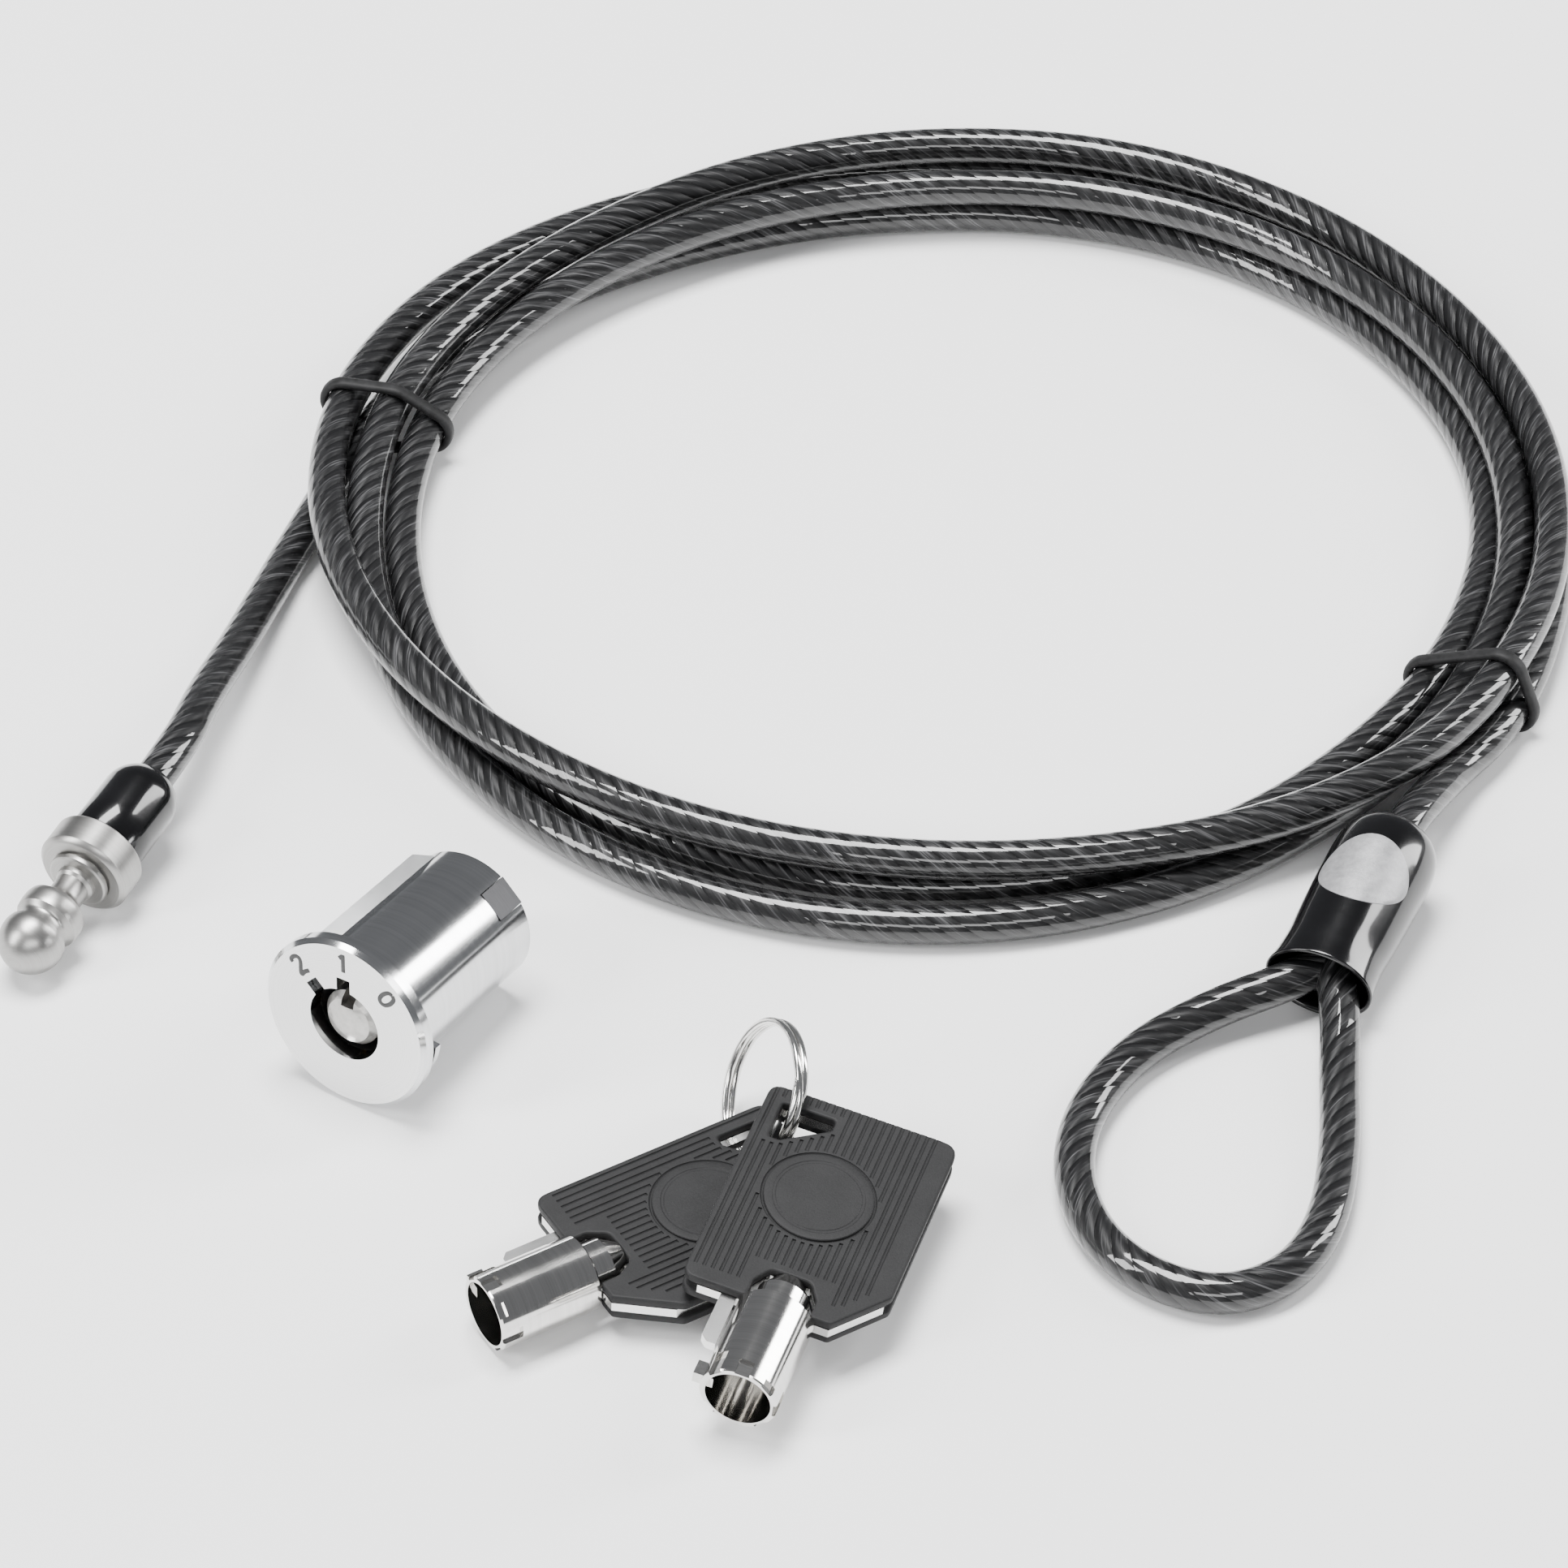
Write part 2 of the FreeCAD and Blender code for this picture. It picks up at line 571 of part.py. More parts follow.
def make_lock():
    place = lock_place()
    key_in = N["dial_first"] + N["dial_step"]          # dial place 1
    bolt_way = N["dial_first"] + 2 * N["dial_step"]    # dial place 0
    pin_angles = [key_in + 45.0 * k for k in range(8)]
    length, bore, front = S["shell_length"], S["shell_bore_radius"], S["front_wall"]
    half_notch = S["notch_width"] * 0.5

    # shell: flange, body, raised side pad, keyway with two notches, bolt notch
    turned_shell = turned("shell_turned", [
        (S["keyway_radius"], whole(0)), (S["flange_radius"] - S["flange_chamfer"], whole(0)),
        (S["flange_radius"], S["flange_chamfer"]), (S["flange_radius"], S["flange_thickness"]),
        (S["shell_radius"], S["flange_thickness"]), (S["shell_radius"], length), (bore, length),
        (bore, front), (S["keyway_radius"], front)])
    half_pad = S["side_pad_width"] * 0.5
    pad_body = doc.addObject("PartDesign::Body", "side_pad")
    pad_sketch = outline(pad_body, "YZ_Plane", [
        (S["shell_radius"] - 0.75, S["flange_thickness"]), (S["side_pad_height"], S["flange_thickness"]),
        (S["side_pad_height"], S["side_pad_end"]),
        (S["shell_radius"] - 0.75, S["side_pad_end"] + S["side_pad_slope"])], "side_pad_profile")
    pad = pad_body.newObject("PartDesign::Pad", "side_pad_pad")
    pad.Profile = pad_sketch
    pad.Midplane = True
    bind(pad, "Length", half_pad * 2)
    cuts = []
    for name, angle in (("two", N["dial_first"]), ("one", key_in)):
        cuts.append(box(f"notch_{name}", (-half_notch, S["keyway_radius"] - 0.6, whole(-0.5)),
                        (half_notch, S["notch_reach"], front + 0.5), angle))
    half_bolt = S["bolt_notch_width"] * 0.5
    cuts.append(box("bolt_notch", (-half_bolt, bore - 0.6, length - S["bolt_notch_depth"]),
                    (half_bolt, S["shell_radius"] + 0.6, length + 0.5), bolt_way))
    cross_way = dial(bolt_way + 180.0)
    cross_z = S["rotor_rear"] + S["stator_length"] * 0.5
    cuts.append(cylinder("cross_hole", S["cross_pin_radius"], whole(6.0), cross_z,
                         x=cross_way.x * 5.0, y=cross_way.y * 5.0, direction=cross_way))
    shell = cut("shell_solid", fuse("shell_blank", [turned_shell, pad_body]), fuse("shell_cuts", cuts))
    finish(shell, "lock_shell", place)

    # wing behind the flange
    wing_outer = cylinder("wing_outer", S["wing_radius"], S["wing_thickness"], S["wing_place"],
                          angle=S["wing_sweep"])
    wing_inner = cylinder("wing_inner", S["shell_radius"], S["wing_thickness"] + 1.0,
                          S["wing_place"] - 0.5)
    wing_outer.Placement.Rotation = Rotation(Vector(0, 0, 1), 90.0 + N["wing_start"])
    finish(cut("wing_solid", wing_outer, wing_inner), "locating_wing", place)

    make_rotor(place, key_in, pin_angles)
    make_stator(place, pin_angles, cross_way, cross_z)
    make_bolt_works(place, bolt_way)


def make_rotor(place, key_in, pin_angles):
    gap = S["fit_clearance"]
    start = S["front_wall"] + gap
    post, groove = S["post_radius"], S["keyway_radius"]
    drum = turned("rotor_drum", [
        (groove, start), (S["shell_bore_radius"] - gap, start), (S["shell_bore_radius"] - gap, S["rotor_rear"]),
        (S["shaft_radius"], S["rotor_rear"]), (S["shaft_radius"], S["cam_place"] + S["cam_thickness"]),
        (whole(0), S["cam_place"] + S["cam_thickness"]), (whole(0), whole(0.3)),
        (post - 1.7, whole(0.45)), (post - 0.7, whole(0.8)), (post, whole(1.6)), (post, S["key_depth"]),
        (groove, S["key_depth"])])
    half_slot, half_lug = S["post_slot_width"] * 0.5, S["notch_width"] * 0.5
    cuts = [
        box("post_slot", (-half_slot, post - S["post_slot_depth"], whole(0)),
            (half_slot, post + 0.5, whole(3.4)), key_in),
        box("lug_slot", (-half_lug, groove - 0.4, start - 0.5), (half_lug, S["notch_reach"], S["key_depth"]),
            key_in)]
    for i, angle in enumerate(pin_angles[1:]):
        cuts.append(polar_pin(f"key_pin_bore_{i}", S["lock_pin_bore_radius"],
                              S["rotor_rear"] - S["key_depth"] + 1.0, S["key_depth"] - 0.5, angle))
    finish(cut("rotor_solid", drum, fuse("rotor_cuts", cuts)), "rotor", place)

    # Key pins end together at the shear plane; their front ends follow the key's cuts.
    for i, angle in enumerate(pin_angles[1:]):
        pin_length = whole(2.3 + 0.3 * ((i * 2) % 5))
        key_pin = polar_pin(f"key_pin_solid_{i + 1}", S["lock_pin_radius"], pin_length,
                            S["rotor_rear"] - pin_length, angle)
        finish(key_pin, f"key_pin_{i + 1}", place)


def make_stator(place, pin_angles, cross_way, cross_z):
    gap = S["fit_clearance"]
    start = S["rotor_rear"] + S["shear_gap"]
    blank = turned("stator_blank", [
        (S["shaft_radius"] + gap, start), (S["shell_bore_radius"], start),
        (S["shell_bore_radius"], start + S["stator_length"]),
        (S["shaft_radius"] + gap, start + S["stator_length"])])
    cuts = [polar_pin(f"driver_bore_{i}", S["lock_pin_bore_radius"], S["stator_length"] - 0.8, start - 0.1,
                      angle) for i, angle in enumerate(pin_angles)]
    cuts.append(cylinder("stator_cross_hole", S["cross_pin_radius"], whole(3.0), cross_z,
                         x=cross_way.x * 5.0, y=cross_way.y * 5.0, direction=cross_way))
    finish(cut("stator_solid", blank, fuse("stator_cuts", cuts)), "stator", place)
    cross = cylinder("cross_pin_solid", S["cross_pin_radius"], S["shell_radius"] - 5.2, cross_z,
                     x=cross_way.x * 5.1, y=cross_way.y * 5.1, direction=cross_way)
    finish(cross, "cross_pin", place)
    for i, angle in enumerate(pin_angles[1:], start=1):
        driver = polar_pin(f"driver_solid_{i}", S["lock_pin_radius"], S["driver_length"], start, angle)
        finish(driver, f"driver_pin_{i}", place)
        spring = polar_pin(f"spring_{i}", S["spring_radius"], S["spring_length"],
                           start + S["driver_length"], angle, S["spring_radius"] - S["spring_wire"])
        finish(spring, f"pin_spring_{i}", place)


def make_bolt_works(place, bolt_way):
    gap, slack = S["fit_clearance"], S["bolt_clearance"]
    cam_top = S["cam_place"] + S["cam_thickness"]
    across = dial(bolt_way + 90.0)
    stud_x, stud_y = across.x * N["stud_offset"], across.y * N["stud_offset"]
    base = S["cam_place"] + S["cam_thickness"] + 0.15
    head_top = base + S["bolt_head_thickness"]

    disc = cut("cam_ring", cylinder("cam_disc", S["cam_radius"], S["cam_thickness"], S["cam_place"]),
               cylinder("cam_hole", S["shaft_radius"], S["cam_thickness"] + 1.0, S["cam_place"] - 0.5))
    stud = cylinder("stud", S["stud_radius"], head_top - S["cam_place"] - 0.6, S["cam_place"] + 0.5,
                    x=stud_x, y=stud_y)
    rim = cut("cam_stud", stud, cylinder("stud_trim", S["shaft_radius"], S["cam_thickness"],
                                         S["cam_place"]))
    finish(fuse("cam_solid", [disc, rim]), "bolt_cam", place)

    # In these frames +Y runs out along the bolt, and the stud stands on the -X side.
    half_nose = S["bolt_notch_width"] * 0.5 - slack
    travel = S["bolt_travel"]
    head = S["bolt_head_half_width"]
    rear = S["shell_length"]
    bolt_blank = fuse("bolt_blank", [
        box("bolt_head", (-head, -S["bolt_head_back"], base), (head, S["bolt_nose_start"], head_top)),
        box("bolt_nose", (-half_nose, S["bolt_nose_start"] - 0.5, base),
            (half_nose, S["shell_radius"], rear))])
    half_slot = S["stud_radius"] + S["stud_clearance"]
    stud_slot = box("stud_slot", (-(S["stud_offset"] + S["stud_radius"] + 0.2), -half_slot, base - 0.5),
                    (whole(-0.1), half_slot, head_top + 0.5))
    bolt = cut("bolt_solid", bolt_blank, stud_slot)
    spin = Placement(Vector(), Rotation(Vector(0, 0, 1), bolt_way))
    finish(bolt, "locking_bolt", place * spin)

    cap_radius = S["shell_bore_radius"]
    cap = cylinder("cap_blank", cap_radius, rear - base, base)
    room = fuse("cap_room", [
        box("cap_head_room", (-(head + slack), -(S["bolt_head_back"] + travel + 0.15), base - 0.5),
            (head + slack, S["bolt_nose_start"] + travel + 0.15, head_top + slack)),
        box("cap_nose_room", (-(half_nose + slack), whole(-1.0), base - 0.5),
            (half_nose + slack, cap_radius + 1.0, rear + 0.5))])
    finish(cut("cap_solid", cap, room), "rear_cap", place * spin)


# ---------------------------------------------------------------- keys and ring

def key_place(which):
    base = Vector(N[f"{which}_key_x"], N[f"{which}_key_y"], N[f"{which}_key_height"])
    return Placement(base, Rotation(N[f"{which}_key_heading"], N[f"{which}_key_dip"],
                                    N[f"{which}_key_lean"]))


def bow_corners(front):
    """Bow outline: X from the ring end to the tube, small corner on the prong's side (-Y)."""
    half, corner, recess = S["bow_half_width"], S["bow_corner"], S["recess_half_width"]
    deep = front - S["recess_depth"]
    end = S["recess_end_half_width"]
    return [
        (whole(0), -(half - corner)), (corner, -half), (front - corner, -half),
        (front, -(half - corner)), (front, -recess), (deep + 2.1, -recess), (deep, -end), (deep, end),
        (deep + 2.1, recess), (front, recess), (front, half - S["bow_chamfer_across"]),
        (front - S["bow_chamfer_along"], half), (corner, half), (whole(0), half - corner)]


def slot_corners():
    near, far = S["slot_near"], S["slot_far"]
    inner, outer = S["slot_inner"], S["slot_outer"]
    return [(near, -outer), (far, -outer), (far, -(outer - S["slot_flat"])),
            (near + S["slot_lip"], -inner), (near, -inner)]


def blade_corners(front):
    half, corner, recess = S["bow_half_width"], S["bow_corner"], S["recess_half_width"]
    deep = front - S["recess_depth"]
    end, tongue = S["recess_end_half_width"], S["tongue_half_width"]
    prong_tip = front + S["prong_length"]
    rim = 0.6
    return [
        (whole(rim), -(half - corner - rim)), (corner + rim, -(half - rim)),
        (front - corner - 0.3, -(half - rim)), (front, -(half - corner - 0.5)), (front, -S["prong_outer"]),
        (prong_tip - 0.7, -S["prong_outer"]), (prong_tip, -(S["prong_outer"] - 0.7)),
        (prong_tip, -S["prong_inner"]), (front, -S["prong_inner"]), (front, -recess),
        (deep + 2.1, -recess), (deep, -end), (deep, -tongue), (deep + S["tongue_reach"], -tongue),
        (deep + S["tongue_reach"], tongue), (deep, tongue), (deep, end), (deep + 2.1, recess),
        (front, recess), (front, half - S["bow_chamfer_across"] - 0.1),
        (front - S["bow_chamfer_along"] + 0.7, half - rim), (corner + rim, half - rim),
        (whole(rim), half - corner - rim)]


def make_key(which):
    place = key_place(which)
    front = S["bow_length"]
    half_blade, cover = S["blade_thickness"] * 0.5, S["cover_thickness"]
    for side, start in (("top", half_blade), ("bottom", -(half_blade + cover))):
        finish(plate(f"{which}_cover_{side}", bow_corners(front), start, cover, slot_corners()),
               f"{which}_key_cover_{side}", place)
    finish(plate(f"{which}_blade_plate", blade_corners(front), -half_blade, S["blade_thickness"],
                 slot_corners()), f"{which}_key_blade", place)

    # Drive tube, turned about its own Z, then laid along the key's X.
    lay = Placement(Vector(), Rotation(Vector(0, 1, 0), 90))
    neck, tube, bore = S["tube_neck_radius"], S["tube_radius"], S["tube_bore_radius"]
    deep = front - S["recess_depth"] + 0.1
    tip = front + S["tube_length"]
    drum = turned(f"{which}_tube_turned", [
        (whole(0), deep), (neck - 1.1, deep), (neck, deep + 1.9), (neck, front + 0.1),
        (tube - 0.2, front + 0.1), (tube, front + 0.3), (tube, tip - 0.15), (tube - 0.15, tip),
        (bore, tip), (bore, tip - S["tube_bore_depth"]), (whole(0), tip - S["tube_bore_depth"])])
    tongue = S["tongue_half_width"]
    cuts = [box(f"{which}_tongue_slot", (-half_blade, -tongue, deep - 0.5),
                (half_blade, tongue, front - S["recess_depth"] + S["tongue_reach"]))]
    for k in range(1, 8):
        depth = whole(0.9 + 0.45 * ((k * 2) % 5))
        half_cut = S["cut_width"] * 0.5
        cuts.append(box(f"{which}_cut_{k}", (-half_cut, tube - S["cut_depth"], tip - depth),
                        (half_cut, tube + 0.5, tip + 0.5), 180.0 + 45.0 * k))
    half_lug = S["lug_width"] * 0.5
    seat = box(f"{which}_lug_seat", (-half_lug, -(tube + 0.3), tip - S["lug_place"] - S["lug_length"] * 0.5),
               (half_lug, -(bore - 0.3), tip - S["lug_place"] + S["lug_length"] * 0.5))
    finish(cut(f"{which}_tube_solid", drum, fuse(f"{which}_tube_cuts", cuts + [seat])),
           f"{which}_key_tube", place * lay)
    lug = box(f"{which}_lug_solid",
              (-half_lug, -S["lug_reach"], tip - S["lug_place"] - S["lug_length"] * 0.5),
              (half_lug, -S["lug_inner_reach"], tip - S["lug_place"] + S["lug_length"] * 0.5))
    finish(lug, f"{which}_key_lug", place * lay)


def make_ring():
    outer, section, half = S["ring_outer_radius"], S["ring_section"], S["ring_depth"] * 0.5
    bevel = 0.2
    ring = turned("ring_turned", [
        (outer - section, -(half - bevel)), (outer - section + bevel, -half), (outer - bevel, -half),
        (outer, -(half - bevel)), (outer, half - bevel), (outer - bevel, half),
        (outer - section + bevel, half), (outer - section, half - bevel)])
    heading, lean = math.radians(N["ring_heading"]), math.radians(N["ring_lean"])
    way = Vector(math.cos(heading) * math.cos(lean), math.sin(heading) * math.cos(lean), math.sin(lean))
    finish(ring, "split_ring", Placement(Vector(N["ring_x"], N["ring_y"], N["ring_z"]),
                                         Rotation(Vector(0, 0, 1), way)))


make_pin()
make_sleeve()
make_coil_and_bands(make_cables())
make_lock()
make_key("front")
make_key("rear")
make_ring()
doc.recompute()

for obj in doc.Objects:
    if "Invalid" in obj.State or "Error" in obj.State:
        raise RuntimeError(f"{obj.Label} failed: {obj.State}")
for part in PARTS:
    if part.Shape.isNull() or not part.Shape.isValid() or len(part.Shape.Solids) != 1:
        raise RuntimeError(f"{part.Label} isn't one valid solid ({len(part.Shape.Solids)} solids)")

os.makedirs("parts", exist_ok=True)
for part in PARTS:
    part.Shape.exportStep(os.path.join("parts", f"{part.Label}.step"))
print(f"{len(PARTS)} parts written")
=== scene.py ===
"""Looks of a laptop cable lock: a jacketed wire cable with its pin, sleeve and bands, a
barrel lock, and two tubular keys on a split ring. Sizes are in millimetres in the classes
and become metres where a mesh is made."""

import logging
import math
from dataclasses import dataclass, field
from enum import Enum
from typing import Any, Iterable, Sequence

import bmesh
import bpy
from mathutils import Matrix, Vector

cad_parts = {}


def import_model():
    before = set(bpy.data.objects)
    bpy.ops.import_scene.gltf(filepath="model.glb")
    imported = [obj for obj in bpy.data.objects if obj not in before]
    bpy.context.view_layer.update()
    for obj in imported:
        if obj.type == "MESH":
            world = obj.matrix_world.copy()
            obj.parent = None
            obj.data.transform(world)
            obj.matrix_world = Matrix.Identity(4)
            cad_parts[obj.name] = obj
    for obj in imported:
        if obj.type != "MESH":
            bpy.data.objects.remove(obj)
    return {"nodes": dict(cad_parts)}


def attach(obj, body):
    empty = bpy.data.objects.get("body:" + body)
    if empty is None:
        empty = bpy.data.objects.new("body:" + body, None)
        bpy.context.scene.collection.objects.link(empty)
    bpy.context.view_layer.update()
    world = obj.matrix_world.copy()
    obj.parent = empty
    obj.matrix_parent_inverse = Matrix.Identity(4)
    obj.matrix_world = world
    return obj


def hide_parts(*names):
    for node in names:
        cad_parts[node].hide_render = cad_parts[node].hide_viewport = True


MM = 0.001
TURN = 2.0 * math.pi
Point = tuple[float, float, float]
Colour = tuple[float, float, float]
log = logging.getLogger("cable_lock")


class Body(Enum):
    """Moving bodies that pieces ride on."""

    CABLE = "cable"
    LOCK = "lock_body"
    ROTOR = "lock_rotor"
    BOLT = "bolt"
    RING = "key_ring"
    FRONT_KEY = "front_key"
    REAR_KEY = "rear_key"


class Slot(Enum):
    """Material slots of the record."""

    JACKET = "cable_jacket"
    BAND = "band_rubber"
    VINYL = "boot_vinyl"
    PRINT = "silver_print"
    CHROME = "chrome"
    NICKEL = "satin_nickel"
    STEEL = "steel"
    PLASTIC = "key_plastic"


@dataclass(frozen=True)
class Seat:
    """A local frame in the part frame: where a turned or flat piece sits.

    Args:
        origin: The local origin in millimetres.
        turn: The rotation whose columns are the local axes.
    """

    origin: Vector
    turn: Matrix

    def matrix(self) -> Matrix:
        """Returns the local frame as a 4x4 matrix in metres."""
        return Matrix.Translation(self.origin * MM) @ self.turn.to_4x4()

    def point(self, x: float, y: float, z: float) -> Vector:
        """Returns a local point, given in millimetres, in the part frame in metres."""
        return self.matrix() @ (Vector((x, y, z)) * MM)

    @staticmethod
    def along(origin: Vector, way: Vector, side: Vector) -> "Seat":
        """Makes a seat with Z along a direction and X near another.

        Args:
            origin: The local origin in millimetres.
            way: The direction of local Z.
            side: A direction near local X.

        Returns:
            The seat.
        """
        z = way.normalized()
        x = (side - z * side.dot(z)).normalized()
        y = z.cross(x)
        return Seat(origin, Matrix((x, y, z)).transposed())


# ------------------------------------------------------------------ node tools

class Shader:
    """A node material under construction, with one Principled shader at its end."""

    def __init__(self, name: str) -> None:
        """Starts a material that holds only its shader and output."""
        self.material = bpy.data.materials.new(name)
        self.material.use_nodes = True
        self.tree = self.material.node_tree
        self.tree.nodes.clear()
        output = self.tree.nodes.new("ShaderNodeOutputMaterial")
        self.bsdf = self.tree.nodes.new("ShaderNodeBsdfPrincipled")
        self.tree.links.new(self.bsdf.outputs["BSDF"], output.inputs["Surface"])

    def node(self, kind: str, **settings: Any) -> bpy.types.Node:
        """Adds a node and sets its own settings."""
        made = self.tree.nodes.new(kind)
        for key, value in settings.items():
            setattr(made, key, value)
        return made

    def feed(self, socket: bpy.types.NodeSocket, value: Any) -> None:
        """Links a socket to another one, or sets its value."""
        if isinstance(value, bpy.types.NodeSocket):
            self.tree.links.new(value, socket)
        else:
            socket.default_value = value

    def set(self, **values: Any) -> None:
        """Sets or links the shader's inputs, named with underscores for spaces."""
        for key, value in values.items():
            socket = self.bsdf.inputs[key.replace("_", " ")]
            if isinstance(value, tuple) and len(value) == 3:
                value = (*value, 1.0)
            self.feed(socket, value)

    def place(self, seat: Seat | None = None) -> bpy.types.NodeSocket:
        """Gives object coordinates, moved into a seat's own frame when there is one."""
        coords = self.node("ShaderNodeTexCoord").outputs["Object"]
        if seat is None:
            return coords
        inverse = seat.matrix().inverted()
        mapping = self.node("ShaderNodeMapping", vector_type="POINT")
        self.feed(mapping.inputs["Vector"], coords)
        mapping.inputs["Location"].default_value = inverse.to_translation()
        mapping.inputs["Rotation"].default_value = inverse.to_euler()
        return mapping.outputs["Vector"]

    def stretch(self, vector: bpy.types.NodeSocket, scale: Point) -> bpy.types.NodeSocket:
        """Scales coordinates along each axis."""
        mapping = self.node("ShaderNodeMapping", vector_type="POINT")
        self.feed(mapping.inputs["Vector"], vector)
        mapping.inputs["Scale"].default_value = scale
        return mapping.outputs["Vector"]

    def math(self, kind: str, *values: Any) -> bpy.types.NodeSocket:
        """Adds one arithmetic node and gives its result."""
        made = self.node("ShaderNodeMath", operation=kind)
        for socket, value in zip(made.inputs, values):
            self.feed(socket, value)
        return made.outputs[0]

    def noise(self, vector: Any, scale: float, detail: float = 3.0,
              rough: float = 0.5) -> bpy.types.NodeSocket:
        """Adds a noise texture and gives its grey value."""
        made = self.node("ShaderNodeTexNoise")
        self.feed(made.inputs["Vector"], vector)
        made.inputs["Scale"].default_value = scale
        made.inputs["Detail"].default_value = detail
        made.inputs["Roughness"].default_value = rough
        return made.outputs[0]

    def ramp(self, factor: Any, stops: Sequence[tuple[float, Colour]]) -> bpy.types.NodeSocket:
        """Turns a grey value into a colour through stops of place and colour."""
        made = self.node("ShaderNodeValToRGB")
        self.feed(made.inputs["Fac"], factor)
        ramp = made.color_ramp
        ramp.elements[0].position, ramp.elements[0].color = stops[0][0], (*stops[0][1], 1.0)
        ramp.elements[1].position, ramp.elements[1].color = stops[-1][0], (*stops[-1][1], 1.0)
        for place, colour in stops[1:-1]:
            ramp.elements.new(place).color = (*colour, 1.0)
        return made.outputs["Color"]

    def span(self, factor: Any, low: float, high: float) -> bpy.types.NodeSocket:
        """Maps 0..1 to low..high."""
        made = self.node("ShaderNodeMapRange")
        self.feed(made.inputs["Value"], factor)
        made.inputs["To Min"].default_value = low
        made.inputs["To Max"].default_value = high
        return made.outputs["Result"]

    def bump(self, height: Any, depth_mm: float, strength: float = 1.0,
             under: Any = None) -> bpy.types.NodeSocket:
        """Turns a height into a surface direction.

        Args:
            height: The grey height socket.
            depth_mm: How deep a height of one is, in millimetres.
            strength: How much of the bump shows.
            under: Another bump that this one lies on.

        Returns:
            The normal socket.
        """
        made = self.node("ShaderNodeBump")
        made.inputs["Strength"].default_value = strength
        made.inputs["Distance"].default_value = depth_mm * MM
        self.feed(made.inputs["Height"], height)
        if under is not None:
            self.feed(made.inputs["Normal"], under)
        return made.outputs["Normal"]


@dataclass(frozen=True)
class JacketFinish:
    """Clear smoked jacket over a twisted wire rope. Reads the tube's UV map: metres along
    the cable and turns round it."""

    strands: int = 6
    lay_mm: float = 17.0
    # The gap colour is painted shade between the strands, and the glint colour is a painted highlight on their
    # crowns.
    painted_gap_shade: Colour = (0.001, 0.001, 0.0012)
    wire: Colour = (0.007, 0.007, 0.0075)
    painted_crown_glint: Colour = (0.09, 0.09, 0.093)

    def build(self) -> bpy.types.Material:
        """Returns the material."""
        s = Shader("smoked_jacket")
        split = s.node("ShaderNodeSeparateXYZ")
        s.feed(split.inputs[0], s.node("ShaderNodeUVMap", uv_map="UVMap").outputs["UV"])
        along, around = split.outputs["X"], split.outputs["Y"]
        laid = s.math("SUBTRACT", around, s.math("DIVIDE", along, self.lay_mm * MM))
        strand = s.math("ABSOLUTE", s.math("SINE", s.math("MULTIPLY", laid, math.pi * self.strands)))
        crown = s.math("POWER", strand, 0.7)
        angle = s.math("MULTIPLY", laid, TURN)
        wires = s.node("ShaderNodeCombineXYZ")
        s.feed(wires.inputs[0], s.math("MULTIPLY", s.math("COSINE", angle), 9.0))
        s.feed(wires.inputs[1], s.math("MULTIPLY", s.math("SINE", angle), 9.0))
        s.feed(wires.inputs[2], s.math("MULTIPLY", along, 260.0))
        streak = s.noise(wires.outputs[0], 1.0, 2.0, 0.6)
        drift = s.noise(s.place(), 90.0, 2.0)
        # Painted light: the strand crowns are painted lighter as a highlight, broken into streaks along the
        # wires, and the gaps darker as shade.
        lit = s.math("MULTIPLY", crown, s.span(streak, -0.55, 1.7))
        lit = s.math("MULTIPLY", lit, s.span(drift, 0.35, 1.5))
        colour = s.ramp(lit, [(0.08, self.painted_gap_shade), (0.55, self.wire), (1.0, self.painted_crown_glint)])
        rope = s.bump(crown, 0.28, 0.9)
        rope = s.bump(streak, 0.05, 0.7, rope)
        swell = s.math("ADD", s.math("MULTIPLY", crown, 0.6), s.noise(s.place(), 420.0, 2.0))
        s.set(Base_Color=colour, Roughness=0.45, Specular_IOR_Level=0.22, Normal=rope,
              Coat_Weight=1.0, Coat_Roughness=0.05, Coat_IOR=1.5, Coat_Normal=s.bump(swell, 0.035, 1.0))
        return s.material


@dataclass(frozen=True)
class VinylFinish:
    """Glossy black dipped vinyl with a faint orange-peel skin."""

    name: str = "gloss_vinyl"
    colour: Colour = (0.0015, 0.0015, 0.0018)
    gloss: float = 0.14

    def build(self) -> bpy.types.Material:
        """Returns the material."""
        s = Shader(self.name)
        peel = s.noise(s.place(), 900.0, 2.0)
        haze = s.noise(s.place(), 220.0, 4.0, 0.6)
        colour = s.ramp(haze, [(0.3, self.colour), (0.75, tuple(c * 1.9 for c in self.colour))])
        s.set(Base_Color=colour, Roughness=s.span(haze, self.gloss, self.gloss + 0.16),
              Specular_IOR_Level=0.2,
              Normal=s.bump(peel, 0.012, 0.8), Coat_Weight=0.8, Coat_Roughness=0.07)
        return s.material


@dataclass(frozen=True)
class RubberFinish:
    """Dull black rubber with flow marks and a dusty bloom."""

    colour: Colour = (0.008, 0.008, 0.008)

    def build(self) -> bpy.types.Material:
        """Returns the material."""
        s = Shader("band_rubber_matt")
        bloom = s.noise(s.place(), 700.0, 5.0, 0.65)
        grain = s.noise(s.place(), 3600.0, 2.0)
        colour = s.ramp(bloom, [(0.35, self.colour), (0.7, (0.02, 0.02, 0.021))])
        s.set(Base_Color=colour, Roughness=s.span(bloom, 0.45, 0.65), Specular_IOR_Level=0.2,
              Normal=s.bump(grain, 0.02, 0.7))
        return s.material


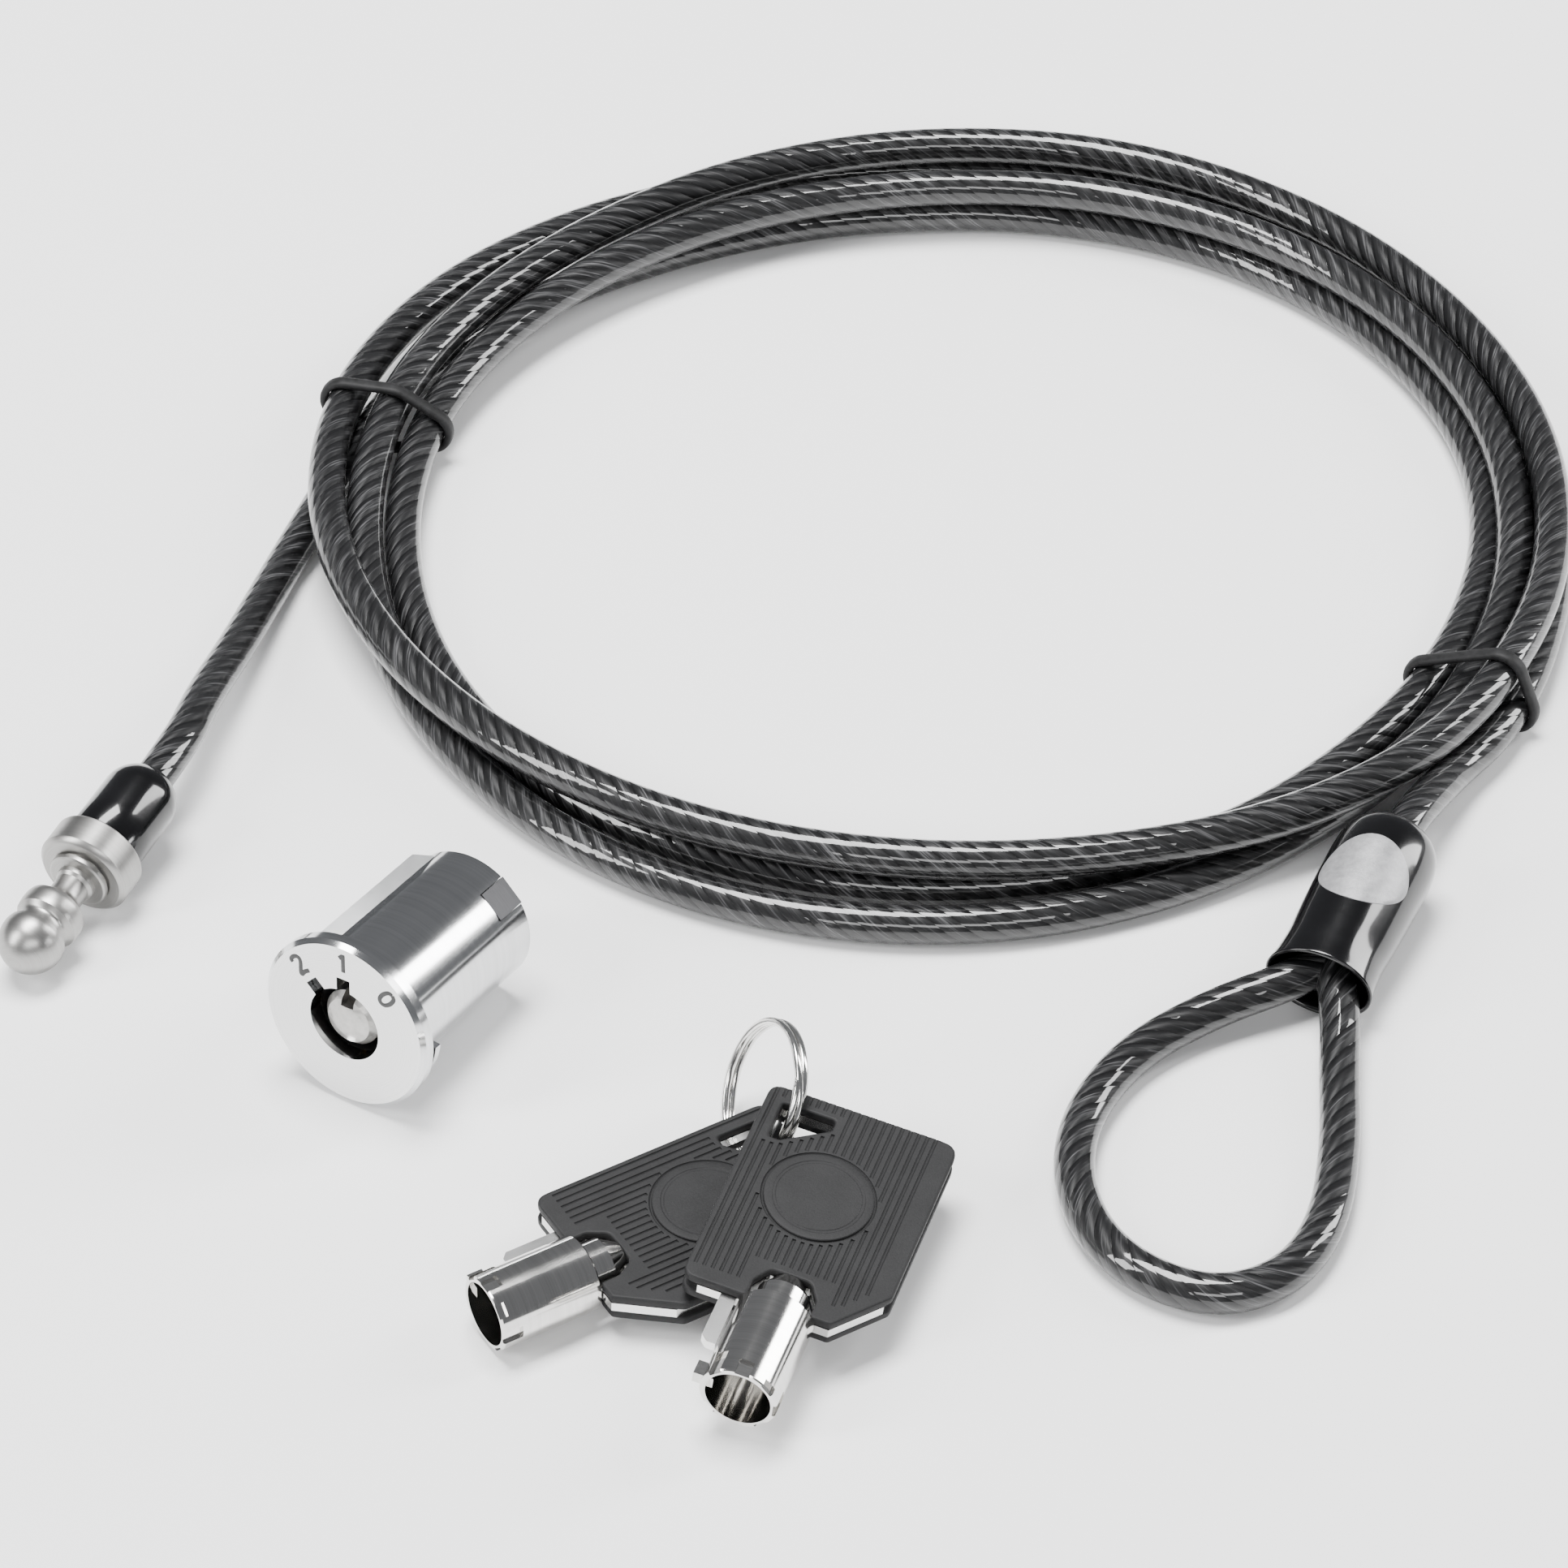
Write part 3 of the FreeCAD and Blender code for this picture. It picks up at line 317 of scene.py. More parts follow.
@dataclass(frozen=True)
class MetalFinish:
    """Bare or plated metal with lathe or brush marks in a seat's own frame.

    Args:
        name: The material's name.
        colour: The metal's colour.
        polish: The roughness at its smoothest.
        haze: How much rougher it is where it is worn.
        marks: How deep the tool marks are, in micrometres.
        pitch_mm: How far apart the tool marks are.
        turned: Whether the marks are rings about local Z rather than lines along local X.
    """

    name: str
    colour: Colour
    polish: float
    haze: float
    marks: float
    pitch_mm: float = 0.12
    turned: bool = True

    def build(self, seat: Seat | None = None) -> bpy.types.Material:
        """Returns the material, with its marks centred on a seat."""
        s = Shader(self.name)
        local = s.place(seat)
        if self.turned:
            split = s.node("ShaderNodeSeparateXYZ")
            s.feed(split.inputs[0], local)
            squares = [s.math("POWER", split.outputs[i], 2.0) for i in (0, 1)]
            radius = s.math("SQRT", s.math("ADD", squares[0], squares[1]))
            rings = s.node("ShaderNodeCombineXYZ")
            s.feed(rings.inputs[0], radius)
            s.feed(rings.inputs[2], split.outputs[2])
            lines = rings.outputs[0]
        else:
            lines = s.stretch(local, (0.03, 1.0, 1.0))
        tooling = s.noise(lines, 1.0 / (self.pitch_mm * MM), 3.0, 0.7)
        wear = s.noise(s.place(), 160.0, 4.0, 0.6)
        pale = tuple(min(1.0, c * 1.08) for c in self.colour)
        colour = s.ramp(tooling, [(0.3, tuple(c * 0.9 for c in self.colour)), (0.7, pale)])
        s.set(Base_Color=colour, Metallic=1.0, Roughness=s.span(wear, self.polish, self.polish + self.haze),
              Normal=s.bump(tooling, self.marks * 0.001, 1.0))
        return s.material


@dataclass(frozen=True)
class CastFinish:
    """Dull nickel dome with a pitted, peened skin."""

    colour: Colour = (0.50, 0.49, 0.47)

    def build(self) -> bpy.types.Material:
        """Returns the material."""
        s = Shader("peened_nickel")
        pits = s.node("ShaderNodeTexVoronoi", feature="SMOOTH_F1")
        s.feed(pits.inputs["Vector"], s.place())
        pits.inputs["Scale"].default_value = 2600.0
        skin = s.noise(s.place(), 1500.0, 4.0, 0.6)
        colour = s.ramp(skin, [(0.3, tuple(c * 0.8 for c in self.colour)), (0.7, self.colour)])
        s.set(Base_Color=colour, Metallic=1.0, Roughness=s.span(skin, 0.30, 0.46),
              Normal=s.bump(pits.outputs["Distance"], 0.03, 0.9, s.bump(skin, 0.02, 0.8)))
        return s.material


@dataclass(frozen=True)
class PlasticFinish:
    """Charcoal moulded plastic with a fine spark-eroded grain."""

    colour: Colour = (0.013, 0.013, 0.0135)

    def build(self) -> bpy.types.Material:
        """Returns the material."""
        s = Shader("charcoal_plastic")
        grain = s.noise(s.place(), 5200.0, 3.0, 0.6)
        cloud = s.noise(s.place(), 260.0, 3.0)
        shade = s.math("ADD", s.math("MULTIPLY", grain, 0.6), s.math("MULTIPLY", cloud, 0.4))
        dark, pale = (tuple(c * share for c in self.colour) for share in (0.72, 1.3))
        colour = s.ramp(shade, [(0.35, dark), (0.65, pale)])
        s.set(Base_Color=colour, Roughness=s.span(grain, 0.5, 0.66), Specular_IOR_Level=0.22,
              Normal=s.bump(grain, 0.03, 0.9))
        return s.material


@dataclass(frozen=True)
class PrintFinish:
    """Silver ink with fine metal flakes."""

    colour: Colour = (0.40, 0.40, 0.41)

    def build(self) -> bpy.types.Material:
        """Returns the material."""
        s = Shader("silver_ink")
        flakes = s.node("ShaderNodeTexVoronoi", feature="F1")
        s.feed(flakes.inputs["Vector"], s.place())
        flakes.inputs["Scale"].default_value = 5200.0
        grey = s.noise(s.place(), 900.0, 4.0, 0.7)
        colour = s.ramp(grey, [(0.35, tuple(c * 0.7 for c in self.colour)), (0.7, self.colour)])
        s.set(Base_Color=colour, Metallic=0.45, Roughness=s.span(grey, 0.36, 0.52),
              Normal=s.bump(flakes.outputs["Distance"], 0.012, 0.8))
        return s.material


@dataclass(frozen=True)
class EngravingFinish:
    """Dark colour that paints the shade of an engraved line."""

    colour: Colour = (0.05, 0.05, 0.05)

    def build(self) -> bpy.types.Material:
        """Returns the material."""
        s = Shader("engraving_wax")
        crumb = s.noise(s.place(), 4000.0, 3.0)
        colour = s.ramp(crumb, [(0.3, tuple(c * 0.6 for c in self.colour)), (0.7, self.colour)])
        s.set(Base_Color=colour, Metallic=0.3, Roughness=s.span(crumb, 0.4, 0.6),
              Normal=s.bump(crumb, 0.01, 0.6))
        return s.material


class Palette:
    """Every finish, built once, except metals whose marks follow a seat."""

    def __init__(self) -> None:
        """Builds the finishes that several sub-assemblies share."""
        self.jacket = JacketFinish().build()
        self.vinyl = VinylFinish().build()
        self.rubber = RubberFinish().build()
        self.plastic = PlasticFinish().build()
        self.ink = PrintFinish().build()
        self.engraving_shade_paint = EngravingFinish().build()
        self.cast = CastFinish().build()
        # Near-black gloss that paints the shade inside the barrel onto the rotor.
        self.shadow = VinylFinish("oiled_black", (0.004, 0.004, 0.004), 0.4).build()
        self.wire = MetalFinish("ring_steel", (0.80, 0.79, 0.77), 0.10, 0.10, 1.2, 0.4, False).build()
        self.inner_brass = MetalFinish("pin_brass", (0.75, 0.56, 0.25), 0.22, 0.12, 2.0).build()
        self.inner_steel = MetalFinish("works_steel", (0.52, 0.52, 0.53), 0.22, 0.14, 2.0).build()


# ------------------------------------------------------------------ mesh tools

def pointing(heading: float, droop: float) -> Vector:
    """Returns the unit way at a heading about Z that slopes down by a droop, both in degrees."""
    turn, dip = math.radians(heading), math.radians(droop)
    return Vector((math.cos(turn) * math.cos(dip), math.sin(turn) * math.cos(dip), -math.sin(dip)))


def new_object(name: str, mesh: bpy.types.Mesh) -> bpy.types.Object:
    """Links a new object at the origin for a mesh."""
    made = bpy.data.objects.new(name, mesh)
    bpy.context.scene.collection.objects.link(made)
    return made


def settle(source: bpy.types.Object, name: str) -> bpy.types.Object:
    """Turns an object with modifiers into a plain mesh object, and removes the source.

    Args:
        source: The object to evaluate.
        name: The name of the plain object.

    Returns:
        The plain object.
    """
    graph = bpy.context.evaluated_depsgraph_get()
    mesh = bpy.data.meshes.new_from_object(
        source.evaluated_get(graph), preserve_all_data_layers=True, depsgraph=graph)
    bpy.data.objects.remove(source)
    mesh.name = name
    return new_object(name, mesh)


def smooth(piece: bpy.types.Object, angle: float = 32.0) -> bpy.types.Object:
    """Shades a piece smooth except across edges sharper than an angle in degrees."""
    mesh = piece.data
    mesh.polygons.foreach_set("use_smooth", [True] * len(mesh.polygons))
    mesh.set_sharp_from_angle(angle=math.radians(angle))
    return piece


def mesh_object(name: str, points: Iterable[Vector], faces: Iterable[Sequence[int]],
                edges: Iterable[Sequence[int]] = ()) -> bpy.types.Object:
    """Makes an object from points and faces, with doubles merged and faces outward.

    Args:
        name: The object's name.
        points: The points in metres.
        faces: The corner numbers of each face.
        edges: Loose edges, for a piece that is only lines.

    Returns:
        The object.
    """
    mesh = bpy.data.meshes.new(name)
    mesh.from_pydata([tuple(p) for p in points], list(edges), [tuple(f) for f in faces])
    if mesh.polygons:
        tidy(mesh)
    mesh.update()
    return new_object(name, mesh)


def tidy(mesh: bpy.types.Mesh, merge_mm: float = 0.0005) -> None:
    """Merges doubles, closes open ends and points the faces outward."""
    bm = bmesh.new()
    bm.from_mesh(mesh)
    bmesh.ops.remove_doubles(bm, verts=bm.verts, dist=merge_mm * MM)
    rims = [e for e in bm.edges if e.is_boundary]
    if rims:
        bmesh.ops.holes_fill(bm, edges=rims, sides=0)
    bmesh.ops.recalc_face_normals(bm, faces=bm.faces)
    bm.to_mesh(mesh)
    bm.free()


def flowing(stations: Sequence[Point], steps: int = 6) -> list[Point]:
    """Passes a smooth line through stations, with equal steps between neighbours.

    Args:
        stations: Points of three numbers each.
        steps: Pieces between two stations.

    Returns:
        The finer list of points.
    """
    line = [Vector(s) for s in stations]
    padded = [line[0] * 2 - line[1]] + line + [line[-1] * 2 - line[-2]]
    result: list[Point] = []
    for a, b, c, d in zip(padded, padded[1:], padded[2:], padded[3:]):
        for k in range(steps):
            t = k / steps
            slope_b, slope_c = (c - a) * 0.5, (d - b) * 0.5
            point = (b * (2 * t**3 - 3 * t**2 + 1) + slope_b * (t**3 - 2 * t**2 + t)
                     + c * (3 * t**2 - 2 * t**3) + slope_c * (t**3 - t**2))
            result.append(tuple(point))
    return result + [tuple(line[-1])]


def turned_piece(name: str, profile: Sequence[Point], seat: Seat, around: int = 72,
                 angle: float = 32.0) -> bpy.types.Object:
    """Turns an oval profile about a seat's Z into a closed piece.

    Args:
        name: The object's name.
        profile: Half-width along X, half-height along Y and place along Z, from end to end.
        seat: Where it sits.
        around: Faces round it.
        angle: Edges sharper than this many degrees stay sharp.

    Returns:
        The object.
    """
    points, faces = [], []
    for half_width, half_height, z in profile:
        for k in range(around):
            a = TURN * k / around
            points.append(seat.point(half_width * math.cos(a), half_height * math.sin(a), z))
    for ring in range(len(profile) - 1):
        for k in range(around):
            a, b = ring * around + k, ring * around + (k + 1) % around
            faces.append((a, b, b + around, a + around))
    return smooth(mesh_object(name, points, faces), angle)


def round_profile(stations: Sequence[tuple[float, float]]) -> list[Point]:
    """Makes a round profile out of pairs of place along Z and radius."""
    return [(radius, radius, z) for z, radius in stations]


class Frame:
    """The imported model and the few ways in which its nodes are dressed."""

    def __init__(self) -> None:
        """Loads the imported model."""
        self.nodes: dict[str, bpy.types.Object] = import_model()["nodes"]

    def dress(self, node: str, finish: bpy.types.Material) -> None:
        """Gives a node that stays a finish."""
        piece = self.nodes[node]
        for slot in piece.material_slots:
            slot.material = finish
        if not piece.material_slots:
            piece.data.materials.append(finish)

    def refined(self, node: str, name: str, angle: float = 32.0) -> bpy.types.Object:
        """Copies a node's mesh, merges its loose triangles and shades it.

        Args:
            node: The node's name.
            name: The copy's name.
            angle: Edges sharper than this many degrees stay sharp.

        Returns:
            The copy, which still has to ride and replace.
        """
        mesh = self.nodes[node].data.copy()
        mesh.name = name
        mesh.materials.clear()
        if "custom_normal" in mesh.attributes:
            mesh.attributes.remove(mesh.attributes["custom_normal"])
        bm = bmesh.new()
        bm.from_mesh(mesh)
        bmesh.ops.remove_doubles(bm, verts=bm.verts, dist=0.001 * MM)
        bm.to_mesh(mesh)
        bm.free()
        return smooth(new_object(name, mesh), angle)

    def fit(self, piece: bpy.types.Object, body: Body, slot: Slot, finish: bpy.types.Material,
            *nodes: str) -> bpy.types.Object:
        """Dresses a made piece, hangs it on its body and hides the nodes it stands for.

        Args:
            piece: The finished mesh.
            body: The body it rides on.
            slot: The material slot; not used.
            finish: Its material.
            nodes: The nodes it stands for.

        Returns:
            The same piece.
        """
        piece.data.materials.clear()
        piece.data.materials.append(finish)
        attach(piece, body.value)
        if nodes:
            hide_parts(*nodes)
        log.info("%s rides on %s, %d faces", piece.name, body.value, len(piece.data.polygons))
        return piece


# ------------------------------------------------------------------ geometry trees

class GeometryTree:
    """A geometry node tree under construction, with named inputs."""

    def __init__(self, name: str) -> None:
        """Starts a tree that takes and gives one geometry."""
        self.tree = bpy.data.node_groups.new(name, "GeometryNodeTree")
        self.tree.interface.new_socket("Geometry", in_out="INPUT", socket_type="NodeSocketGeometry")
        self.tree.interface.new_socket("Geometry", in_out="OUTPUT", socket_type="NodeSocketGeometry")
        self.start = self.tree.nodes.new("NodeGroupInput")
        self.end = self.tree.nodes.new("NodeGroupOutput")

    def knob(self, name: str, kind: str, value: Any = None) -> str:
        """Adds a named input.

        Args:
            name: The input's name.
            kind: Float, Int, Object or Material.
            value: What it holds until a modifier sets it.

        Returns:
            The name, to find the input's socket by.
        """
        socket = self.tree.interface.new_socket(name, in_out="INPUT", socket_type=f"NodeSocket{kind}")
        if value is not None:
            socket.default_value = value
        return name

    def add(self, kind: str, settings: dict[str, Any] | None = None, **inputs: Any) -> bpy.types.Node:
        """Adds a node, sets it, and feeds its inputs by name with spaces as underscores."""
        node = self.tree.nodes.new(kind)
        for key, value in (settings or {}).items():
            setattr(node, key, value)
        for key, value in inputs.items():
            socket = next(s for s in node.inputs if s.name == key.replace("_", " ") and s.enabled)
            if isinstance(value, bpy.types.NodeSocket):
                self.tree.links.new(value, socket)
            else:
                socket.default_value = value
        return node

    def given(self, name: str) -> bpy.types.NodeSocket:
        """Gives the socket of a named input."""
        return self.start.outputs[name]

    def finish(self, geometry: bpy.types.NodeSocket, material: str) -> None:
        """Ends the tree in Realize Instances and Set Material."""
        real = self.add("GeometryNodeRealizeInstances", Geometry=geometry)
        dressed = self.add("GeometryNodeSetMaterial", Geometry=real.outputs[0], Material=self.given(material))
        self.tree.links.new(dressed.outputs[0], self.end.inputs[0])

    def apply(self, piece: bpy.types.Object, name: str, **values: Any) -> bpy.types.Object:
        """Runs the tree on an object and gives the plain result.

        Args:
            piece: The object whose mesh the tree takes.
            name: The result's name.
            values: The inputs, named with underscores for spaces.

        Returns:
            The plain object.
        """
        modifier = piece.modifiers.new(self.tree.name, "NODES")
        modifier.node_group = self.tree
        for item in self.tree.interface.items_tree:
            key = item.name.replace(" ", "_")
            if item.in_out == "INPUT" and key in values:
                modifier[item.identifier] = values[key]
        return settle(piece, name)


def tube_tree() -> GeometryTree:
    """Makes the tree that sweeps a jacket along a line of edges and maps it.

    Returns:
        A tree with the inputs Radius, Faces Round and Finish, whose result has a UV map of
        metres along the line and turns round it.
    """
    tree = GeometryTree("jacket_sweep")
    tree.knob("Radius", "Float", 2.25 * MM)
    tree.knob("Faces Round", "Int", 22)
    tree.knob("Finish", "Material")
    rail = tree.add("GeometryNodeMeshToCurve", Mesh=tree.given("Geometry"))
    rail_place = tree.add("GeometryNodeSplineParameter")
    rail_kept = tree.add("GeometryNodeCaptureAttribute")
    rail_kept.capture_items.new("FLOAT", "Along")
    tree.tree.links.new(rail.outputs[0], rail_kept.inputs[0])
    tree.tree.links.new(rail_place.outputs["Length"], rail_kept.inputs["Along"])
    more = tree.add("ShaderNodeMath", {"operation": "ADD"})
    tree.tree.links.new(tree.given("Faces Round"), more.inputs[0])
    more.inputs[1].default_value = 1.0
    hoop = tree.add("GeometryNodeCurveArc", Radius=tree.given("Radius"), Start_Angle=0.0, Sweep_Angle=TURN)
    tree.tree.links.new(more.outputs[0], hoop.inputs["Resolution"])
    hoop_place = tree.add("GeometryNodeSplineParameter")
    hoop_kept = tree.add("GeometryNodeCaptureAttribute")
    hoop_kept.capture_items.new("FLOAT", "Around")
    tree.tree.links.new(hoop.outputs["Curve"], hoop_kept.inputs[0])
    tree.tree.links.new(hoop_place.outputs["Factor"], hoop_kept.inputs["Around"])
    swept = tree.add("GeometryNodeCurveToMesh", Curve=rail_kept.outputs[0],
                     Profile_Curve=hoop_kept.outputs[0])
    both = tree.add("ShaderNodeCombineXYZ", X=rail_kept.outputs["Along"], Y=hoop_kept.outputs["Around"])
    mapped = tree.add("GeometryNodeStoreNamedAttribute", {"data_type": "FLOAT2", "domain": "CORNER"},
                      Geometry=swept.outputs[0], Name="UVMap", Value=both.outputs[0])
    closed = tree.add("GeometryNodeMergeByDistance", Geometry=mapped.outputs[0], Distance=0.002 * MM)
    tree.finish(closed.outputs[0], "Finish")
    return tree


def groove_tree() -> GeometryTree:
    """Makes the tree that cuts round-bottomed grooves along lines into a plate.

    Returns:
        A tree with the inputs Lines, Groove Radius, Facets and Finish.
    """
    tree = GeometryTree("moulded_ribs")
    tree.knob("Lines", "Object")
    tree.knob("Groove Radius", "Float", 0.17 * MM)
    tree.knob("Facets", "Int", 10)
    tree.knob("Finish", "Material")
    lines = tree.add("GeometryNodeObjectInfo", {"transform_space": "ORIGINAL"}, Object=tree.given("Lines"))
    rails = tree.add("GeometryNodeMeshToCurve", Mesh=lines.outputs["Geometry"])
    cutter = tree.add("GeometryNodeCurvePrimitiveCircle", Radius=tree.given("Groove Radius"),
                      Resolution=tree.given("Facets"))
    bars = tree.add("GeometryNodeCurveToMesh", Curve=rails.outputs[0], Profile_Curve=cutter.outputs[0],
                    Fill_Caps=True)
    carved = tree.add("GeometryNodeMeshBoolean", {"operation": "DIFFERENCE", "solver": "EXACT"})
    tree.tree.links.new(tree.given("Geometry"), carved.inputs["Mesh 1"])
    tree.tree.links.new(bars.outputs[0], carved.inputs["Mesh 2"])
    tree.finish(carved.outputs[0], "Finish")
    return tree


# ------------------------------------------------------------------ pin seat and sleeve seat

@dataclass
class PinHardware:
    """The locking pin, its crimp and its boot, turned about one axis from the pin's tip."""

    collar: Point = (-70.64, 34.79, 5.69)
    heading: float = 64.1
    tilt: float = 5.0
    collar_place: float = 16.8
    collar_front: float = 14.75
    collar_radius: float = 5.5
    collar_length: float = 4.1
    boot_length: float = 12.0
    boot_radius: float = 4.45
    cable_radius: float = 2.25

    def seat(self) -> Seat:
        """Returns the seat at the tip, with Z towards the cable."""
        heading, tilt = math.radians(self.heading), math.radians(self.tilt)
        way = Vector((math.cos(heading) * math.cos(tilt), math.sin(heading) * math.cos(tilt), math.sin(tilt)))
        return Seat.along(Vector(self.collar) - way * self.collar_place, way, Vector((0, 0, 1)))

    @property
    def collar_back(self) -> float:
        """The place where the collar ends."""
        return self.collar_front + self.collar_length

    @property
    def boot_end(self) -> float:
        """The place where the cable leaves the boot."""
        return self.collar_back + self.boot_length

    def cable_start(self) -> list[Vector]:
        """Returns the cable's first route points, inside the crimp and past the boot."""
        seat = self.seat()
        return [seat.point(0, 0, self.collar_back + 1.1), seat.point(0, 0, self.boot_end + 6.0)]

    def build(self, frame: Frame, palette: Palette) -> None:
        """Makes the pin and the boot, and dresses the crimp."""
        seat = self.seat()
        beads = flowing([(0.0, 0.0, 0.0), (1.15, 0.0, 0.22), (2.35, 0.0, 0.95), (3.25, 0.0, 2.05),
                         (3.68, 0.0, 3.25), (3.75, 0.0, 4.2), (3.62, 0.0, 4.95)], 5)
        waist = flowing([(3.18, 0.0, 5.25), (3.05, 0.0, 5.9), (3.10, 0.0, 6.35), (3.45, 0.0, 6.75)], 4)
        second = flowing([(3.66, 0.0, 6.95), (3.75, 0.0, 7.6), (3.74, 0.0, 8.6), (3.60, 0.0, 9.25)], 4)
        saddle = flowing([(3.30, 0.0, 9.45), (2.60, 0.0, 9.95), (2.12, 0.0, 10.5), (2.0, 0.0, 11.2)], 4)
        front, back, wide = self.collar_front, self.collar_back, self.collar_radius
        steps = [(2.0, 0.0, front - 1.9), (2.3, 0.0, front - 1.55), (2.35, 0.0, front - 1.0),
                 (3.35, 0.0, front - 0.95), (3.55, 0.0, front - 0.8), (3.6, 0.0, front - 0.35),
                 (3.35, 0.0, front - 0.3), (3.35, 0.0, front - 0.05), (wide - 0.62, 0.0, front),
                 (wide - 0.5, 0.0, front + 0.06), (wide - 0.06, 0.0, front + 0.5), (wide, 0.0, front + 0.62),
                 (wide, 0.0, back - 0.16), (wide - 0.05, 0.0, back - 0.05), (wide - 0.16, 0.0, back),
                 (0.0, 0.0, back)]
        profile = [(r, r, z) for r, _, z in beads + waist + second + saddle + steps]
        pin = turned_piece("locking_pin_turned", profile, seat, 96, 24.0)
        turned_steel = MetalFinish("turned_steel", (0.34, 0.335, 0.325), 0.30, 0.10, 2.2, 0.16).build(seat)
        frame.fit(pin, Body.CABLE, Slot.STEEL, turned_steel, "locking_pin")

        start, end, wide = self.collar_back + 0.02, self.boot_end, self.boot_radius
        skin = [(0.0, start), (wide - 0.12, start), (wide, start + 0.12), (wide, start + 4.0)]
        skin += [(wide, end - 3.4), (wide - 0.1, end - 2.6), (wide - 0.42, end - 1.7),
                 (wide - 0.98, end - 0.85), (wide - 1.62, end - 0.25), (wide - 1.95, end),
                 (self.cable_radius + 0.12, end - 0.02),
                 (self.cable_radius, end - 0.35), (0.0, end - 0.4)]
        boot = turned_piece("pin_boot_dipped", [(r, r, z) for r, z in skin], seat, 64, 50.0)
        frame.fit(boot, Body.CABLE, Slot.VINYL, palette.vinyl, "pin_boot")
        frame.dress("pin_ferrule", palette.inner_steel)


@dataclass
class LoopSleeve:
    """The black sleeve that closes the anchor loop, with its plain silver disc."""

    place: Point = (75.96, 37.99, 6.30)
    heading: float = 245.4
    droop: float = 3.2
    length: float = 24.2
    crimp_start: float = 4.5
    crimp_length: float = 11.0
    bore_offset: float = 2.4
    disc_place: float = 10.6
    disc_radius: float = 5.0
    sections: tuple[Point, ...] = (
        (4.3, 4.25, 0.25), (5.1, 5.05, 0.95), (5.75, 5.7, 2.5), (6.0, 5.95, 5.0), (6.0, 5.85, 8.5),
        (5.95, 5.6, 12.6), (5.85, 5.35, 16.2), (5.75, 5.1, 19.4), (5.95, 4.92, 22.2), (6.22, 4.82, 23.95))

    def seat(self) -> Seat:
        """Returns the seat at the tail, with Z towards the mouth and Y down."""
        way = pointing(self.heading, self.droop)
        return Seat.along(Vector(self.place), way, way.cross(Vector((0, 0, 1))))

    def cable_end(self) -> list[Vector]:
        """Returns the cable's last route points, outside the tail and inside the crimp."""
        seat = self.seat()
        return [seat.point(0, 0, -3.0), seat.point(0, 0, self.crimp_start)]

    def leg(self, side: float) -> list[Vector]:
        """Returns one loop leg's two points, from the crimp to its mouth."""
        seat = self.seat()
        x = side * self.bore_offset
        return [seat.point(x, 0, self.crimp_start + 1.1),
                seat.point(x, 0, self.crimp_start + self.crimp_length + 1.0)]

    def crown(self, z: float) -> tuple[float, float]:
        """Returns the skin's half-width and half-height at a place along it."""
        fine = flowing(self.sections, 6)
        below = max((s for s in fine if s[2] <= z), key=lambda s: s[2], default=fine[0])
        above = min((s for s in fine if s[2] >= z), key=lambda s: s[2], default=fine[-1])
        share = 0.0 if above[2] == below[2] else (z - below[2]) / (above[2] - below[2])
        return below[0] + (above[0] - below[0]) * share, below[1] + (above[1] - below[1]) * share

    def build(self, frame: Frame, palette: Palette) -> None:
        """Makes the sleeve and its disc, and dresses the crimp."""
        seat = self.seat()
        tail = [(0.0, 0.0, 0.4), (2.25, 2.25, 0.35), (2.4, 2.4, 0.0), (3.0, 2.98, -0.12), (3.6, 3.58, -0.05)]
        lip = [(6.25, 4.8, 24.1), (6.15, 4.7, 24.22), (5.85, 4.42, 24.22), (5.66, 4.22, 24.05)]
        inside = flowing([(5.55, 4.12, 23.4), (5.2, 3.75, 19.5), (4.95, 3.45, 16.5), (4.9, 3.4, 15.2)], 4)
        floor = [(4.9, 3.4, 4.7), (0.0, 0.0, 4.7)]
        profile = tail + flowing(self.sections, 5) + lip + inside + floor
        sleeve = turned_piece("loop_sleeve_moulded", profile, seat, 72, 55.0)
        frame.fit(sleeve, Body.CABLE, Slot.VINYL, palette.vinyl, "loop_sleeve")
        frame.fit(self.disc(seat), Body.CABLE, Slot.PRINT, palette.ink, "sleeve_badge")
        frame.dress("loop_ferrule", palette.inner_steel)

    def disc(self, seat: Seat, lift: float = 0.09, rings: int = 14, around: int = 64) -> bpy.types.Object:
        """Makes the thin printed disc that lies on the sleeve's crown."""
        points, faces = [], []
        levels = [(r / rings, lift) for r in range(rings + 1)]
        levels += [(1.004, lift * 0.4), (1.0, -0.25), (0.0, -0.25)]
        for share, rise in levels:
            for k in range(around):
                a = TURN * k / around
                across = self.disc_radius * share * math.cos(a)
                z = self.disc_place + self.disc_radius * share * math.sin(a)
                half_width, half_height = self.crown(z)
                height = half_height * math.sqrt(max(0.0, 1.0 - (across / half_width) ** 2))
                points.append(seat.point(across, -(height + rise), z))
        for ring in range(len(levels) - 1):
            for k in range(around):
                a, b = ring * around + k, ring * around + (k + 1) % around
                faces.append((a, b, b + around, a + around))
        return smooth(mesh_object("sleeve_disc", points, faces), 40.0)


# ------------------------------------------------------------------ cable

